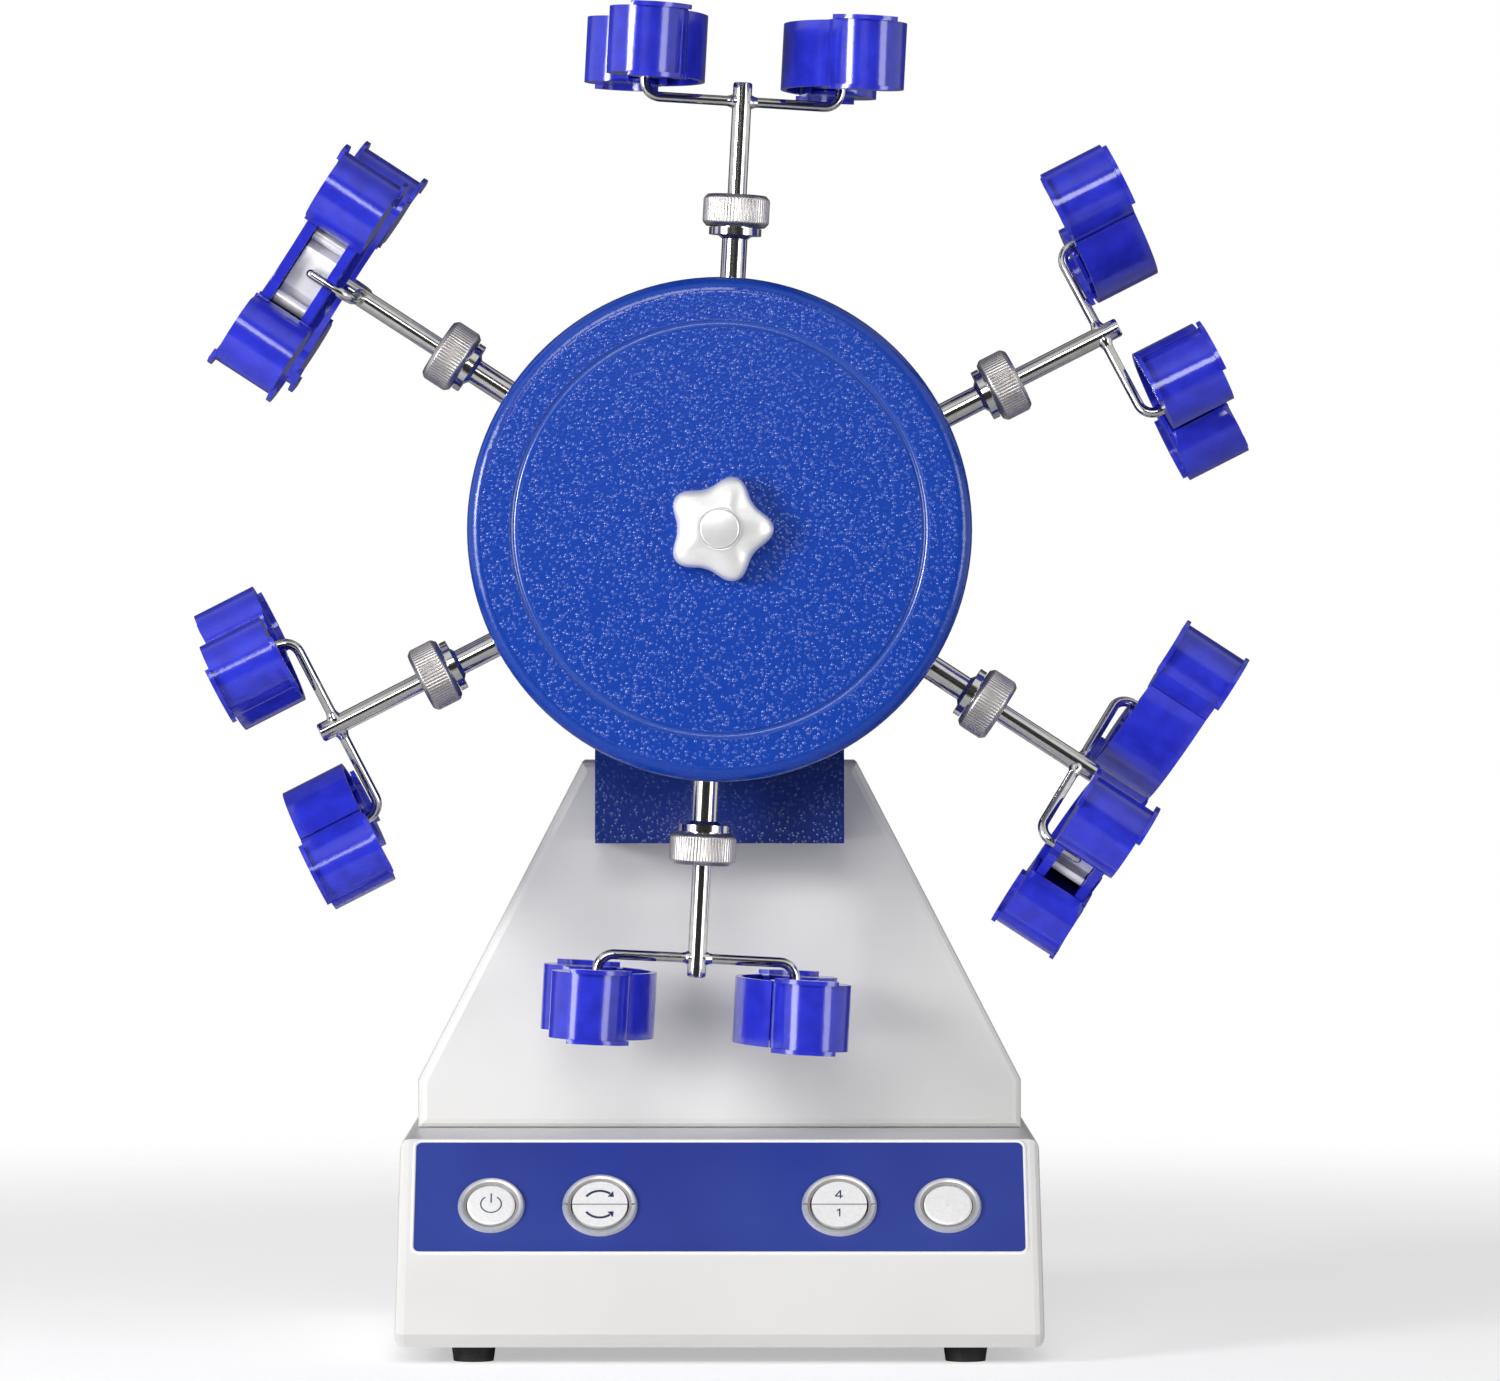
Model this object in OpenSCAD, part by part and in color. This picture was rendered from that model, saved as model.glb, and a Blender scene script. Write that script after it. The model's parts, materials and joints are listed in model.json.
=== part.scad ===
// Twelve-place automatic watch winder: six arms turn on their own axes round a slowly turning drum.
// +Z is up and the front faces -Y. The origin is on the floor under the middle of the object.
// A fixed crown gear inside the drum drives a pinion on each arm, so the arms spin as the drum turns.

/* [Stand] */
// Width of the console base
base_w = 200; // [194:1:220]
// Depth of the console base from its front lip to its back
base_d = 199; // [195:1:204]
// How far the console's front lip lies in front of the object's middle
front_reach = 97; // [95:0.5:99]
// Height of the flat ledge behind the control panel
ledge_z = 66.5; // [64:0.5:70]
// Slope of the control panel, in degrees back from upright
panel_slope = 40; // [38:0.5:42]
// Height of the bevel along the bottom of the console
bevel_h = 3; // [2:0.25:4]
// Wall of the console base and of the tower
shell_wall = 2.5; // [2:0.25:3]
// Rounding of the stand's long edges
edge_r = 3; // [2:0.25:4]
// Height of the rubber feet
foot_h = 5.2; // [4:0.1:7]
// Radius of the rubber feet
foot_r = 7; // [6:0.25:8]
// Inset of the feet from the sides and from the front and back
foot_inset = 24; // [21:0.5:27]

/* [Tower] */
// Width of the tower at its shoulders
shoulder_w = 193; // [186:1:194]
// Height of the shoulders above the floor
shoulder_z = 82; // [78:1:88]
// Width of the tower at its top
tower_top_w = 88; // [84:1:98]
// Height of the tower's top above the floor
tower_top_z = 183.5; // [180:0.5:186]
// Depth of the tower
tower_d = 60; // [56:1:64]

/* [Gear housing] */
// Width of the gear housing behind the drum
housing_w = 78.6; // [76:0.5:82]
// How far the housing hangs down over the tower's front
housing_drop = 25; // [20:0.5:30]
// Height of the housing above the drum's axis
housing_over = 42.5; // [40:0.5:45]
// Wall of the gear housing
housing_wall = 3; // [2.5:0.25:3.5]

/* [Drum] */
// Height of the drum's axis above the tower's top
axis_rise = 73.5; // [71.5:0.5:78]
// How far the plane of the arms lies in front of the middle of the base
arm_reach = 52; // [50:0.5:54]
// Outer radius of the drum
drum_r = 78.5; // [76:0.25:81]
// Depth of the drum
drum_d = 38; // [37:0.5:40]
// Thickness of the drum's rim wall
rim_wall = 8.5; // [7:0.25:9.5]
// Rounding of the drum's front edge
rim_round = 4.2; // [3:0.2:5]
// Thickness of the round cover on the drum's face
cover_t = 3.8; // [3:0.1:4.2]
// Radius of the fine groove in the drum's cover
groove_r = 64; // [60:0.5:68]
// Radius of the drum's shaft
shaft_r = 6; // [5.5:0.25:6.5]
// Outer radius of the star knob's lobes
knob_r = 16.8; // [15:0.2:19]
// Height of the star knob
knob_h = 13; // [10:0.5:15]

/* [Arms] */
// Number of arms round the drum
arm_count = 6;
// Direction of the first arm, in degrees up from the right
arm_start = 87; // [80:1:95]
// Radius of the arm's spindle
spindle_r = 4; // [3.8:0.1:4.4]
// Distance of the collet flange from the drum's axis
flange_at = 92.2; // [90:0.2:94]
// Thickness of the collet flange
flange_t = 2.2; // [1.6:0.1:2.6]
// Radius of the collet flange
flange_r = 8.2; // [7.6:0.1:8.8]
// Radius of the knurled nut over its flutes
nut_r = 10.4; // [9.8:0.1:11]
// Length of the knurled nut
nut_l = 10.4; // [9:0.2:12]
// Number of flutes round the knurled nut
flute_count = 60; // [48:4:66]
// Radius of the arm's rod
rod_r = 3; // [2.8:0.1:3.2]
// Distance of the rod's tip from the drum's axis
rod_tip = 140; // [138:0.5:141]
// Distance of the cross wire from the drum's axis
wire_at = 134; // [132:0.5:135]
// Radius of the cross wire
wire_r = 1.6; // [1.4:0.1:1.7]
// Half the span between the wire's bent ends
wire_span = 31; // [30:0.25:32]
// Centre-line radius of the wire's bends
wire_bend = 5; // [4:0.25:6]

/* [Watch holders] */
// Length of a watch holder over both saddles
holder_l = 76; // [74:0.5:77]
// Width of a holder's curved shells across the bracelet
holder_w = 20.6; // [20.2:0.1:21.4]
// Radius of a holder's round saddles
saddle_r = 12.2; // [11.8:0.1:12.4]
// How far the saddles' centres stand outwards from the wire's end
saddle_out = 3.3; // [2.8:0.1:3.8]
// How far the bowed back stands inwards from the wire's end
bow_in = 18.6; // [18:0.1:19.2]
// Distance of a holder's middle from the drum's axis
holder_at = 149.2; // [148.8:0.2:151]
// Wall of the moulded plastic
plastic_wall = 1.8; // [1.6:0.1:2]
// Width of the rails beside the window
rail_w = 3; // [2.6:0.1:3.2]
// Thickness of the lips round a saddle's end
lip_t = 1.2; // [1:0.1:1.6]
// How far the lips stand out past the saddle
lip_out = 2; // [1.4:0.1:2.2]
// How far a sliding jaw can be pressed in
jaw_travel = 6; // [4:0.5:6.5]
// Running clearance between sliding plastic pieces
slide_gap = 0.3; // [0.2:0.05:0.4]

/* [Gears] */
// Number of teeth on the fixed crown gear, a multiple of the arms
crown_teeth = 48;
// Number of teeth on each arm's pinion
pinion_teeth = 12;
// Pitch radius of the arm's pinion
pinion_r = 9.875; // [9.5:0.125:10.25]
// Face width of the arm's pinion
pinion_face = 5; // [4:0.25:6]
// Width of a gear tooth at its pitch line
tooth_w = 2; // [1.8:0.05:2.1]
// Module of the spur gears behind the drum
spur_module = 1; // [0.95:0.05:1]

/* [Controls] */
// Height of the control panel along the slope
panel_h = 42; // [40:0.5:43]
// Margin of the panel from the sides of the console
panel_margin = 5.2; // [4.6:0.2:6]
// Thickness of the control panel
panel_t = 2; // [1.6:0.1:2.2]
// Distance of the outer buttons from the sides of the console
button_inset = 29; // [27:0.5:33]
// Distance between neighbouring buttons
button_pitch = 33.8; // [31:0.2:36]
// Outer radius of the outer bezels
outer_bezel_r = 10.4; // [9.8:0.1:11]
// Outer radius of the inner bezels
inner_bezel_r = 11.7; // [11:0.1:12.4]
// Width of a bezel ring
bezel_ring = 2.6; // [2.2:0.1:3]
// Height of the bezels above the panel
bezel_h = 1.4; // [1:0.1:1.8]
// Travel of the push buttons
button_travel = 1.2; // [0.8:0.1:1.4]

/* [Hidden] */
$fn = 48;

// How each arm is turned in its collet, in degrees
arm_turn = [8.5, -19, -36, -4, -12, 85];
// Small overlap that lets a cut run past a face
cut = 1;
// Radial clearance of a turning shaft in its bore
running = 0.04;
// Clearance of pieces that are fastened together
seat = 0.02;

arm_y = -arm_reach;
front_y = -front_reach;
back_y = front_y + base_d;
lip_z = foot_h + 1.2 + bevel_h;
slope_l = (ledge_z - lip_z) / cos(panel_slope);
ledge_y = front_y + slope_l * sin(panel_slope);
// The tower's front clears the turning holders
tower_y = 10;
tower_back_y = tower_y + tower_d;
foot_x = base_w / 2 - foot_inset;
foot_ys = [front_y + foot_inset - 7, back_y - foot_inset + 7];

// Bottom plate, screw posts and screws
plate_z = foot_h + 0.4;
plate_t = 2;
post_r = 5;
screw_r = 1.5;
screw_head_r = 3.2;
screw_l = 12;
flange_screw_head = 0.9;

// Power socket in the back wall
inlet_x = 62;
inlet_z = 26;
inlet_r = 6;
inlet_bore_r = 3;
inlet_l = 14;
inlet_flange_r = 8.5;

drum_front_y = arm_y - drum_d / 2;
drum_rear_y = arm_y + drum_d / 2;
cover_r = drum_r - rim_round;
rim_inner_r = drum_r - rim_wall;
web_front_y = drum_front_y + cover_t + seat;
web_t = 2.4;
hub_r = 26;
hub_rear_y = arm_y + 6;
stud_r = 4;

crown_pitch_r = pinion_r * crown_teeth / pinion_teeth;
tooth_add = 1;
tooth_ded = 1.4;
crown_y = arm_y + pinion_r;
crown_disc_y = crown_y + tooth_ded;
crown_disc_t = 3.6;
housing_y = -28;
housing_rear_y = tower_back_y - 4;
axis_z = tower_top_z + axis_rise;
housing_top_z = axis_z + housing_over;
crown_tube_r = 19;
crown_flange_r = 30;
crown_flange_t = 3.4;
bearing_r = 14;
bearing_w = 8;
back_plate_t = 2.4;
back_plate_hole_r = crown_tube_r + 2;

spur_teeth = 48;
drive_teeth = 12;
spur_r = spur_module * spur_teeth / 2;
drive_r = spur_module * drive_teeth / 2;
spur_y = 0;
spur_w = 8;
motor_z = axis_z - spur_r - drive_r;
motor_r = 17;
motor_l = 38;
motor_plate_t = 2;
motor_y = spur_y + spur_w + 4;
motor_shaft_r = 2;

bush_r = spindle_r + 2;
spindle_in = 36.5;
journal_r = 2.5;
journal_in = 20.5;
nose_r = 6;
nose_end = flange_at + flange_t + nut_l - 3.2;
nut_in = flange_at + flange_t + 0.4;
flute_d = 0.24;
flute_w = 0.6 * 2 * PI * nut_r / flute_count;
nut_out = nut_in + nut_l - 0.4;
collet_in = flange_at - 14;

saddle_c = holder_l / 2 - saddle_r;
bow_r = (saddle_c * saddle_c + pow(bow_in + saddle_out - saddle_r, 2)) / (2 * (bow_in + saddle_out - saddle_r));
shell_in_x = saddle_out - saddle_r;
corner_r = 2.5;
channel_w = holder_w - 2 * (1.3 + slide_gap);
channel_lo = shell_in_x + plastic_wall + slide_gap;
channel_hi = saddle_out - slide_gap;
channel_end = saddle_c - jaw_travel + 1.5;
floor_t = 1.2;
lip_from = 59;
lip_to = 150;
spring_w = 11;
spring_t = 0.6;
spring_half = 16;
spring_rise = 3;

outer_button_x = base_w / 2 - button_inset;
inner_button_x = outer_button_x - button_pitch;
button_v = (46.6 - lip_z) / cos(panel_slope);
panel_w = base_w - 2 * panel_margin;
panel_v = slope_l - panel_h - 1.2;
outer_face_r = outer_bezel_r - bezel_ring;
inner_face_r = inner_bezel_r - bezel_ring;
button_gap = 0.3;
board_depth = 12;
board_h = 28;
board_margin = 12;
switch_h = 1.6;

// Direction of arm i, counted from 1 clockwise, in degrees up from the right
function arm_angle(i) = arm_start - (i - 1) * 360 / arm_count;

// Teeth of a spur gear with straight flanks, with a tooth or a gap pointing along +Y
function gear_outline(teeth, r_pitch, add, ded, width, phase = 0) =
    [for (k = [0:teeth - 1], p = [0:3])
        let (
            mid = 90 + (k + phase) * 360 / teeth,
            r = (p == 0 || p == 3) ? r_pitch - ded : r_pitch + add,
            half = (p == 0 || p == 3) ? width * 0.72 : width * 0.32,
            side = p < 2 ? -1 : 1,
            a = mid + side * half / r * 180 / PI
        )
        [r * cos(a), r * sin(a)]];

// Outline of the star knob: a circle whose radius swells into five lobes, the first to the right
function star_outline(r_out, r_in, steps = 60) =
    [for (k = [0:steps - 1])
        let (t = 360 * k / steps, swell = pow((1 + cos(5 * t)) / 2, 1.2), r = r_in + (r_out - r_in) * swell)
        [r * cos(t), r * sin(t)]];

// A convex outline extruded from -h/2 to h/2 with rounded end edges
module soft_block(h, r) {
    hull() {
        for (a = [0:30:90]) {
            linear_extrude(h - 2 * r * (1 - sin(a)), center = true)
                offset(delta = -r * (1 - cos(a)))
                    children();
        }
    }
}

// A cylinder along Y from y0 to y1
module y_rod(r, y0, y1) {
    translate([0, y0, 0])
        rotate([-90, 0, 0])
            cylinder(r = r, h = y1 - y0);
}

// A ring along Y from y0 to y1
module y_ring(r_out, r_in, y0, y1) {
    difference() {
        y_rod(r_out, y0, y1);
        y_rod(r_in, y0 - cut, y1 + cut);
    }
}

// Moves children to the drum's axis
module on_axis() {
    translate([0, 0, axis_z])
        children();
}

// Local frame of arm i: +Z runs out along the arm, Y stays in depth
module at_arm(i) {
    translate([0, arm_y, axis_z])
        rotate([0, 90 - arm_angle(i), 0])
            children();
}

// Frame of a holder on arm i: X out along the cross wire, Y along the holder, Z out along the arm
module at_holder(i, side) {
    at_arm(i)
        rotate([0, 0, arm_turn[i - 1] + (side < 0 ? 180 : 0)])
            translate([wire_span, 0, holder_at])
                children();
}

// Frame on the sloping front: X across, Y up the slope, Z out of the face
module on_face(u = 0, v = 0) {
    translate([0, front_y, lip_z])
        rotate([90 - panel_slope, 0, 0])
            translate([u, v, 0])
                children();
}

// Side view of the console base; below carries the outline down past its open bottom
module base_profile(inset = 0, below = 0) {
    polygon([
        [front_y + bevel_h + inset, foot_h - below],
        [front_y + bevel_h + inset, foot_h + 1.2],
        [front_y + inset * 1.3, lip_z],
        [ledge_y + inset * 0.4, ledge_z - inset],
        [back_y - inset, ledge_z - inset],
        [back_y - inset, foot_h - below]
    ]);
}

// Turns a side view drawn in depth and height into an extrusion across the width
module across() {
    rotate([90, 0, 90])
        children();
}

module base_block(inset = 0) {
    across()
        soft_block(base_w - 2 * inset, edge_r)
            base_profile(inset);
}

// Places the four screw posts of the base
module at_posts() {
    for (x = [-1, 1], y = [foot_ys[0] + 10, foot_ys[1] - 6])
        translate([x * (foot_x - 16), y, 0])
            children();
}

module base_shell() color("gainsboro") difference() {
    union() {
        difference() {
            base_block();
            across()
                linear_extrude(base_w - 2 * shell_wall, center = true)
                    base_profile(shell_wall, cut);
        }
        intersection() {
            base_block(1);
            at_posts()
                translate([0, 0, plate_z + plate_t])
                    cylinder(r = post_r, h = ledge_z - plate_z - plate_t);
        }
        for (u = [-1, 1])
            on_face(u * (inner_button_x + outer_button_x) / 2, button_v)
                translate([0, 0, -board_depth])
                    cylinder(r = 2.4, h = board_depth - 1);
    }
    on_face(0, panel_v)
        translate([-panel_w / 2, 0, -panel_t])
            cube([panel_w, panel_h, panel_t + 2 * cut]);
    for (x = [-outer_button_x, outer_button_x])
        on_face(x, button_v)
            translate([0, 0, -2 * shell_wall])
                cylinder(r = outer_face_r, h = 3 * shell_wall);
    for (x = [-inner_button_x, inner_button_x])
        on_face(x, button_v)
            translate([0, 0, -2 * shell_wall])
                cylinder(r = inner_face_r, h = 3 * shell_wall);
    at_posts()
        translate([0, 0, plate_z])
            cylinder(r = screw_r + 0.05, h = screw_l + 2);
    translate([inlet_x, back_y, inlet_z])
        y_rod(inlet_r + 0.2, -2 * shell_wall, cut);
    translate([0, tower_y + tower_d / 2, ledge_z - 2 * shell_wall])
        cylinder(r = 9, h = 3 * shell_wall);
}

module bottom_plate() color("dimgray") difference() {
    translate([-base_w / 2 + shell_wall + seat, front_y + bevel_h + shell_wall + 0.3, plate_z])
        cube([base_w - 2 * (shell_wall + seat), base_d - bevel_h - 2 * shell_wall - 0.6, plate_t]);
    at_posts()
        translate([0, 0, plate_z - cut])
            cylinder(r = screw_r + 0.3, h = plate_t + 2 * cut);
}

module rubber_feet() color("black") {
    for (x = [-foot_x, foot_x], y = foot_ys)
        translate([x, y, 0])
            cylinder(r1 = foot_r - 0.8, r2 = foot_r, h = plate_z);
}

module base_screw() {
    translate([0, 0, plate_z - 2])
        cylinder(r = screw_head_r, h = 2);
    translate([0, 0, plate_z - 0.5])
        cylinder(r = screw_r, h = screw_l);
}

// Places the screws that hold the crown gear's flange to the housing
module at_flange_screws() {
    on_axis()
        for (a = [45:90:315])
            rotate([0, a, 0])
                translate([crown_flange_r - 5, 0, 0])
                    children();
}

module screws() color("silver") {
    at_posts()
        base_screw();
    at_flange_screws() {
        y_rod(2.6, housing_y - crown_flange_t - flange_screw_head, housing_y - crown_flange_t);
        y_rod(1.5, housing_y - crown_flange_t - 0.5, housing_y + housing_wall);
    }
}

module control_panel() color("mediumblue") difference() {
    on_face(0, panel_v)
        translate([-panel_w / 2 + 0.1, 0.1, -panel_t])
            linear_extrude(panel_t)
                panel_outline(panel_w - 0.2, panel_h - 0.2, 2);
    for (x = [-outer_button_x, outer_button_x])
        on_face(x, button_v)
            translate([0, 0, -panel_t - cut])
                cylinder(r = outer_face_r, h = panel_t + 2 * cut);
    for (x = [-inner_button_x, inner_button_x])
        on_face(x, button_v)
            translate([0, 0, -panel_t - cut])
                cylinder(r = inner_face_r, h = panel_t + 2 * cut);
}

// Rectangle with round corners, from its lower left corner
module panel_outline(w, h, r) {
    translate([r, 0])
        square([w - 2 * r, h]);
    translate([0, r])
        square([w, h - 2 * r]);
    for (x = [r, w - r], y = [r, h - r])
        translate([x, y])
            circle(r);
}

// Bezel ring whose top slopes in towards the button
module bezel(r) {
    rotate_extrude()
        polygon([
            [r - bezel_ring, 0],
            [r - 0.2, 0],
            [r, 0.3],
            [r - 0.5, bezel_h],
            [r - 1.1, bezel_h],
            [r - bezel_ring, bezel_h * 0.45]
        ]);
}

// Thin saw cut across an inner bezel that continues the line across its rocker
module bezel_slot(r) {
    translate([-r - cut, -0.3, 0.2])
        cube([2 * r + 2 * cut, 0.6, bezel_h + cut]);
}

module button_bezels() color("silver") {
    for (x = [-outer_button_x, outer_button_x])
        on_face(x, button_v)
            bezel(outer_bezel_r);
    for (x = [-inner_button_x, inner_button_x])
        on_face(x, button_v)
            difference() {
                bezel(inner_bezel_r);
                bezel_slot(inner_bezel_r);
            }
}

// Push button with a shallow domed face; its stem meets the switch at full travel
module push_button(r) {
    rotate_extrude()
        polygon([
            [0, -board_depth + switch_h + button_travel + 0.2],
            [2, -board_depth + switch_h + button_travel + 0.2],
            [2, -panel_t - 1],
            [r - button_gap, -panel_t - 1],
            [r - button_gap, bezel_h * 0.5],
            [r - button_gap - 0.6, bezel_h * 0.5 + 0.4],
            [0, bezel_h * 0.5 + 0.7]
        ]);
}

module on_off_button() color("white")
    on_face(-outer_button_x, button_v)
        push_button(outer_face_r);

module start_stop_button() color("white")
    on_face(outer_button_x, button_v)
        push_button(outer_face_r);

// Rocker that tilts about the line across its middle
module rocker(r) {
    difference() {
        translate([0, 0, -2.2])
            cylinder(r = r - 0.5, h = 2.2 + bezel_h * 0.5 + 0.5);
        translate([-r, -0.3, bezel_h * 0.5])
            cube([2 * r, 0.6, 2]);
    }
    translate([0, 0, -panel_t - 2.6])
        cylinder(r = 2, h = panel_t + 1);
    for (y = [-1, 1])
        translate([0, y * r * 0.55, -panel_t - 1.6])
            cylinder(r = 1.2, h = panel_t);
}

module direction_rocker() color("white")
    on_face(-inner_button_x, button_v)
        rocker(inner_face_r);

module speed_rocker() color("white")
    on_face(inner_button_x, button_v)
        rocker(inner_face_r);

module circuit_board() color("darkgreen") {
    board_w = 2 * (outer_button_x + board_margin);
    on_face(0, button_v)
        translate([-board_w / 2, -board_h / 2, -board_depth - 1.6])
            cube([board_w, board_h, 1.6]);
    for (x = [-outer_button_x, -inner_button_x, inner_button_x, outer_button_x])
        on_face(x, button_v)
            translate([-3, -3, -board_depth - 0.4])
                cube([6, 6, switch_h + 0.4]);
}

module power_inlet() color("black") translate([inlet_x, back_y, inlet_z]) {
    difference() {
        union() {
            y_rod(inlet_flange_r, 0, 2.6);
            y_rod(inlet_r, -inlet_l, cut);
        }
        y_rod(inlet_bore_r, -inlet_l + 3, 3);
    }
    y_rod(1, -inlet_l + 2, 1.6);
}

// Front view of the tower: upright sides up to the shoulders, then a taper
module tower_outline(inset = 0) {
    polygon([
        [-shoulder_w / 2 + inset, ledge_z - (inset > 0 ? cut : 0)],
        [-shoulder_w / 2 + inset, shoulder_z - inset * 0.25],
        [-tower_top_w / 2 + inset * 0.65, tower_top_z - inset],
        [tower_top_w / 2 - inset * 0.65, tower_top_z - inset],
        [shoulder_w / 2 - inset, shoulder_z - inset * 0.25],
        [shoulder_w / 2 - inset, ledge_z - (inset > 0 ? cut : 0)]
    ]);
}

module tower_shell() color("gainsboro") difference() {
    translate([0, tower_y + tower_d / 2, 0])
        rotate([90, 0, 0])
            soft_block(tower_d, edge_r)
                tower_outline();
    translate([0, tower_y + tower_d / 2, 0])
        rotate([90, 0, 0])
            linear_extrude(tower_d - 2 * shell_wall, center = true)
                tower_outline(shell_wall);
    translate([0, tower_y + tower_d / 2, tower_top_z - 2 * shell_wall])
        cylinder(r = 9, h = 3 * shell_wall);
}

// Side view of the gear housing: it sits on the tower and hangs over its front
module housing_outline(inset = 0) {
    polygon([
        [housing_y + inset, tower_top_z - housing_drop + inset],
        [tower_y - seat - inset, tower_top_z - housing_drop + inset],
        [tower_y - seat - inset, tower_top_z + seat + inset],
        [housing_rear_y - inset, tower_top_z + seat + inset],
        [housing_rear_y - inset, housing_top_z - inset],
        [housing_y + inset, housing_top_z - inset]
    ]);
}

module gear_housing() color("midnightblue") difference() {
    union() {
        difference() {
            across()
                linear_extrude(housing_w, center = true)
                    housing_outline();
            across()
                linear_extrude(housing_w - 2 * housing_wall, center = true)
                    housing_outline(housing_wall);
        }
        on_axis()
            y_rod(bearing_r + 3, housing_rear_y - housing_wall - bearing_w - 0.4, housing_rear_y - 1);
    }
    on_axis() {
        y_rod(bearing_r + seat, housing_rear_y - housing_wall - bearing_w - cut,
              housing_rear_y - housing_wall);
        y_rod(shaft_r + 3, housing_rear_y - 2 * housing_wall, housing_rear_y - 1.2);
        y_rod(bearing_r - 1, housing_y - cut, housing_y + housing_wall + cut);
    }
    at_flange_screws()
        y_rod(1.55, housing_y - cut, housing_y + housing_wall + cut);
    translate([0, tower_y + tower_d / 2, tower_top_z - cut])
        cylinder(r = 9, h = housing_wall + 2 * cut);
}

module drive_motor() color("dimgray") {
    inner_w = housing_w - 2 * housing_wall - 0.4;
    plate_lo = tower_top_z + housing_wall + 0.1;
    difference() {
        translate([-inner_w / 2, motor_y - motor_plate_t, plate_lo])
            cube([inner_w, motor_plate_t, axis_z - shaft_r - 4 - plate_lo]);
        translate([0, 0, motor_z])
            y_rod(motor_shaft_r + 2, motor_y - motor_plate_t - cut, motor_y + cut);
    }
    translate([0, 0, motor_z])
        difference() {
            y_rod(motor_r, motor_y, motor_y + motor_l);
            y_rod(motor_shaft_r + running, motor_y - cut, motor_y + 12);
        }
}

module drive_pinion() color("goldenrod") translate([0, 0, motor_z]) {
    translate([0, spur_y - 0.5, 0])
        rotate([-90, 0, 0])
            linear_extrude(spur_w + 1)
                polygon(gear_outline(drive_teeth, drive_r, 0.85, 1.1, 1.3, 0.5));
    y_rod(motor_shaft_r, spur_y, motor_y + 11);
}

// The fixed gear: a tube from the housing carries a disc with teeth on its front face
module crown_gear() color("goldenrod") {
    face_in = crown_pitch_r - pinion_face / 2 - 1.5;
    face_out = crown_pitch_r + pinion_face / 2 + 1.5;
    on_axis() {
        y_ring(face_out, crown_tube_r - 1, crown_disc_y, crown_disc_y + crown_disc_t);
        difference() {
            union() {
                y_rod(crown_tube_r, crown_disc_y, housing_y);
                y_rod(crown_flange_r, housing_y - crown_flange_t, housing_y);
            }
            y_rod(shaft_r + 3, crown_disc_y - cut, housing_y + cut);
            y_rod(bearing_r + seat, housing_y - bearing_w - seat, housing_y + cut);
            for (a = [45:90:315])
                rotate([0, a, 0])
                    translate([crown_flange_r - 5, 0, 0])
                        y_rod(1.55, housing_y - crown_flange_t - cut, housing_y + cut);
        }
        for (k = [0:crown_teeth - 1])
            rotate([0, -arm_start + k * 360 / crown_teeth, 0])
                translate([face_in, crown_y, 0])
                    rotate([0, 90, 0])
                        linear_extrude(face_out - face_in)
                            polygon([
                                [-tooth_w * 0.72, tooth_ded + 0.2],
                                [-tooth_w * 0.32, -tooth_add],
                                [tooth_w * 0.32, -tooth_add],
                                [tooth_w * 0.72, tooth_ded + 0.2]
                            ]);
    }
}

module shaft_bearings() color("silver") on_axis() {
    y_ring(bearing_r, shaft_r + running, housing_y - bearing_w, housing_y);
    y_ring(bearing_r, shaft_r + running, housing_rear_y - housing_wall - bearing_w,
           housing_rear_y - housing_wall);
}

module drum_shaft() color("silver") on_axis() {
    y_rod(shaft_r, web_front_y, housing_rear_y - housing_wall + 0.8);
    y_rod(stud_r, drum_front_y - knob_h + 2, web_front_y + cut);
    translate([0, spur_y, 0])
        rotate([-90, 0, 0])
            linear_extrude(spur_w)
                polygon(gear_outline(spur_teeth, spur_r, 0.85, 1.1, 1.3));
}

// Cup with a thick rim, a front web and a hub with a journal hole for each spindle
module drum_body() color("royalblue") difference() {
    on_axis()
        rotate([-90, 0, 0])
            rotate_extrude() {
                difference() {
                    translate([0, drum_front_y])
                        square([drum_r, drum_d]);
                    translate([drum_r - rim_round, drum_front_y + rim_round])
                        difference() {
                            translate([0, -rim_round - cut])
                                square([rim_round + cut, rim_round + cut]);
                            circle(rim_round);
                        }
                    translate([0, drum_front_y - cut])
                        square([cover_r, cover_t + seat + cut]);
                    translate([0, web_front_y + web_t])
                        square([rim_inner_r, drum_d]);
                    translate([0, drum_rear_y - back_plate_t - seat])
                        square([rim_inner_r + 2, drum_d]);
                }
                translate([0, web_front_y + web_t / 2])
                    square([hub_r, hub_rear_y - web_front_y - web_t / 2]);
            }
    on_axis()
        y_rod(shaft_r + seat, drum_front_y - cut, drum_rear_y + cut);
    for (i = [1:arm_count])
        at_arm(i) {
            translate([0, 0, rim_inner_r - 4])
                cylinder(r = bush_r, h = rim_wall + 8);
            translate([0, 0, journal_in - 0.3])
                cylinder(r = journal_r + running, h = hub_r - journal_in + 4);
        }
}

module drum_back_plate() color("royalblue") on_axis()
    y_ring(rim_inner_r + 2 - 0.1, back_plate_hole_r, drum_rear_y - back_plate_t, drum_rear_y);

// Round cover with one fine groove, held by the star knob
module drum_cover() color("royalblue") on_axis() difference() {
    y_ring(cover_r - 0.1, stud_r + 0.2, drum_front_y, drum_front_y + cover_t);
    y_ring(groove_r + 0.6, groove_r - 0.6, drum_front_y - cut, drum_front_y + 0.7);
}

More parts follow.
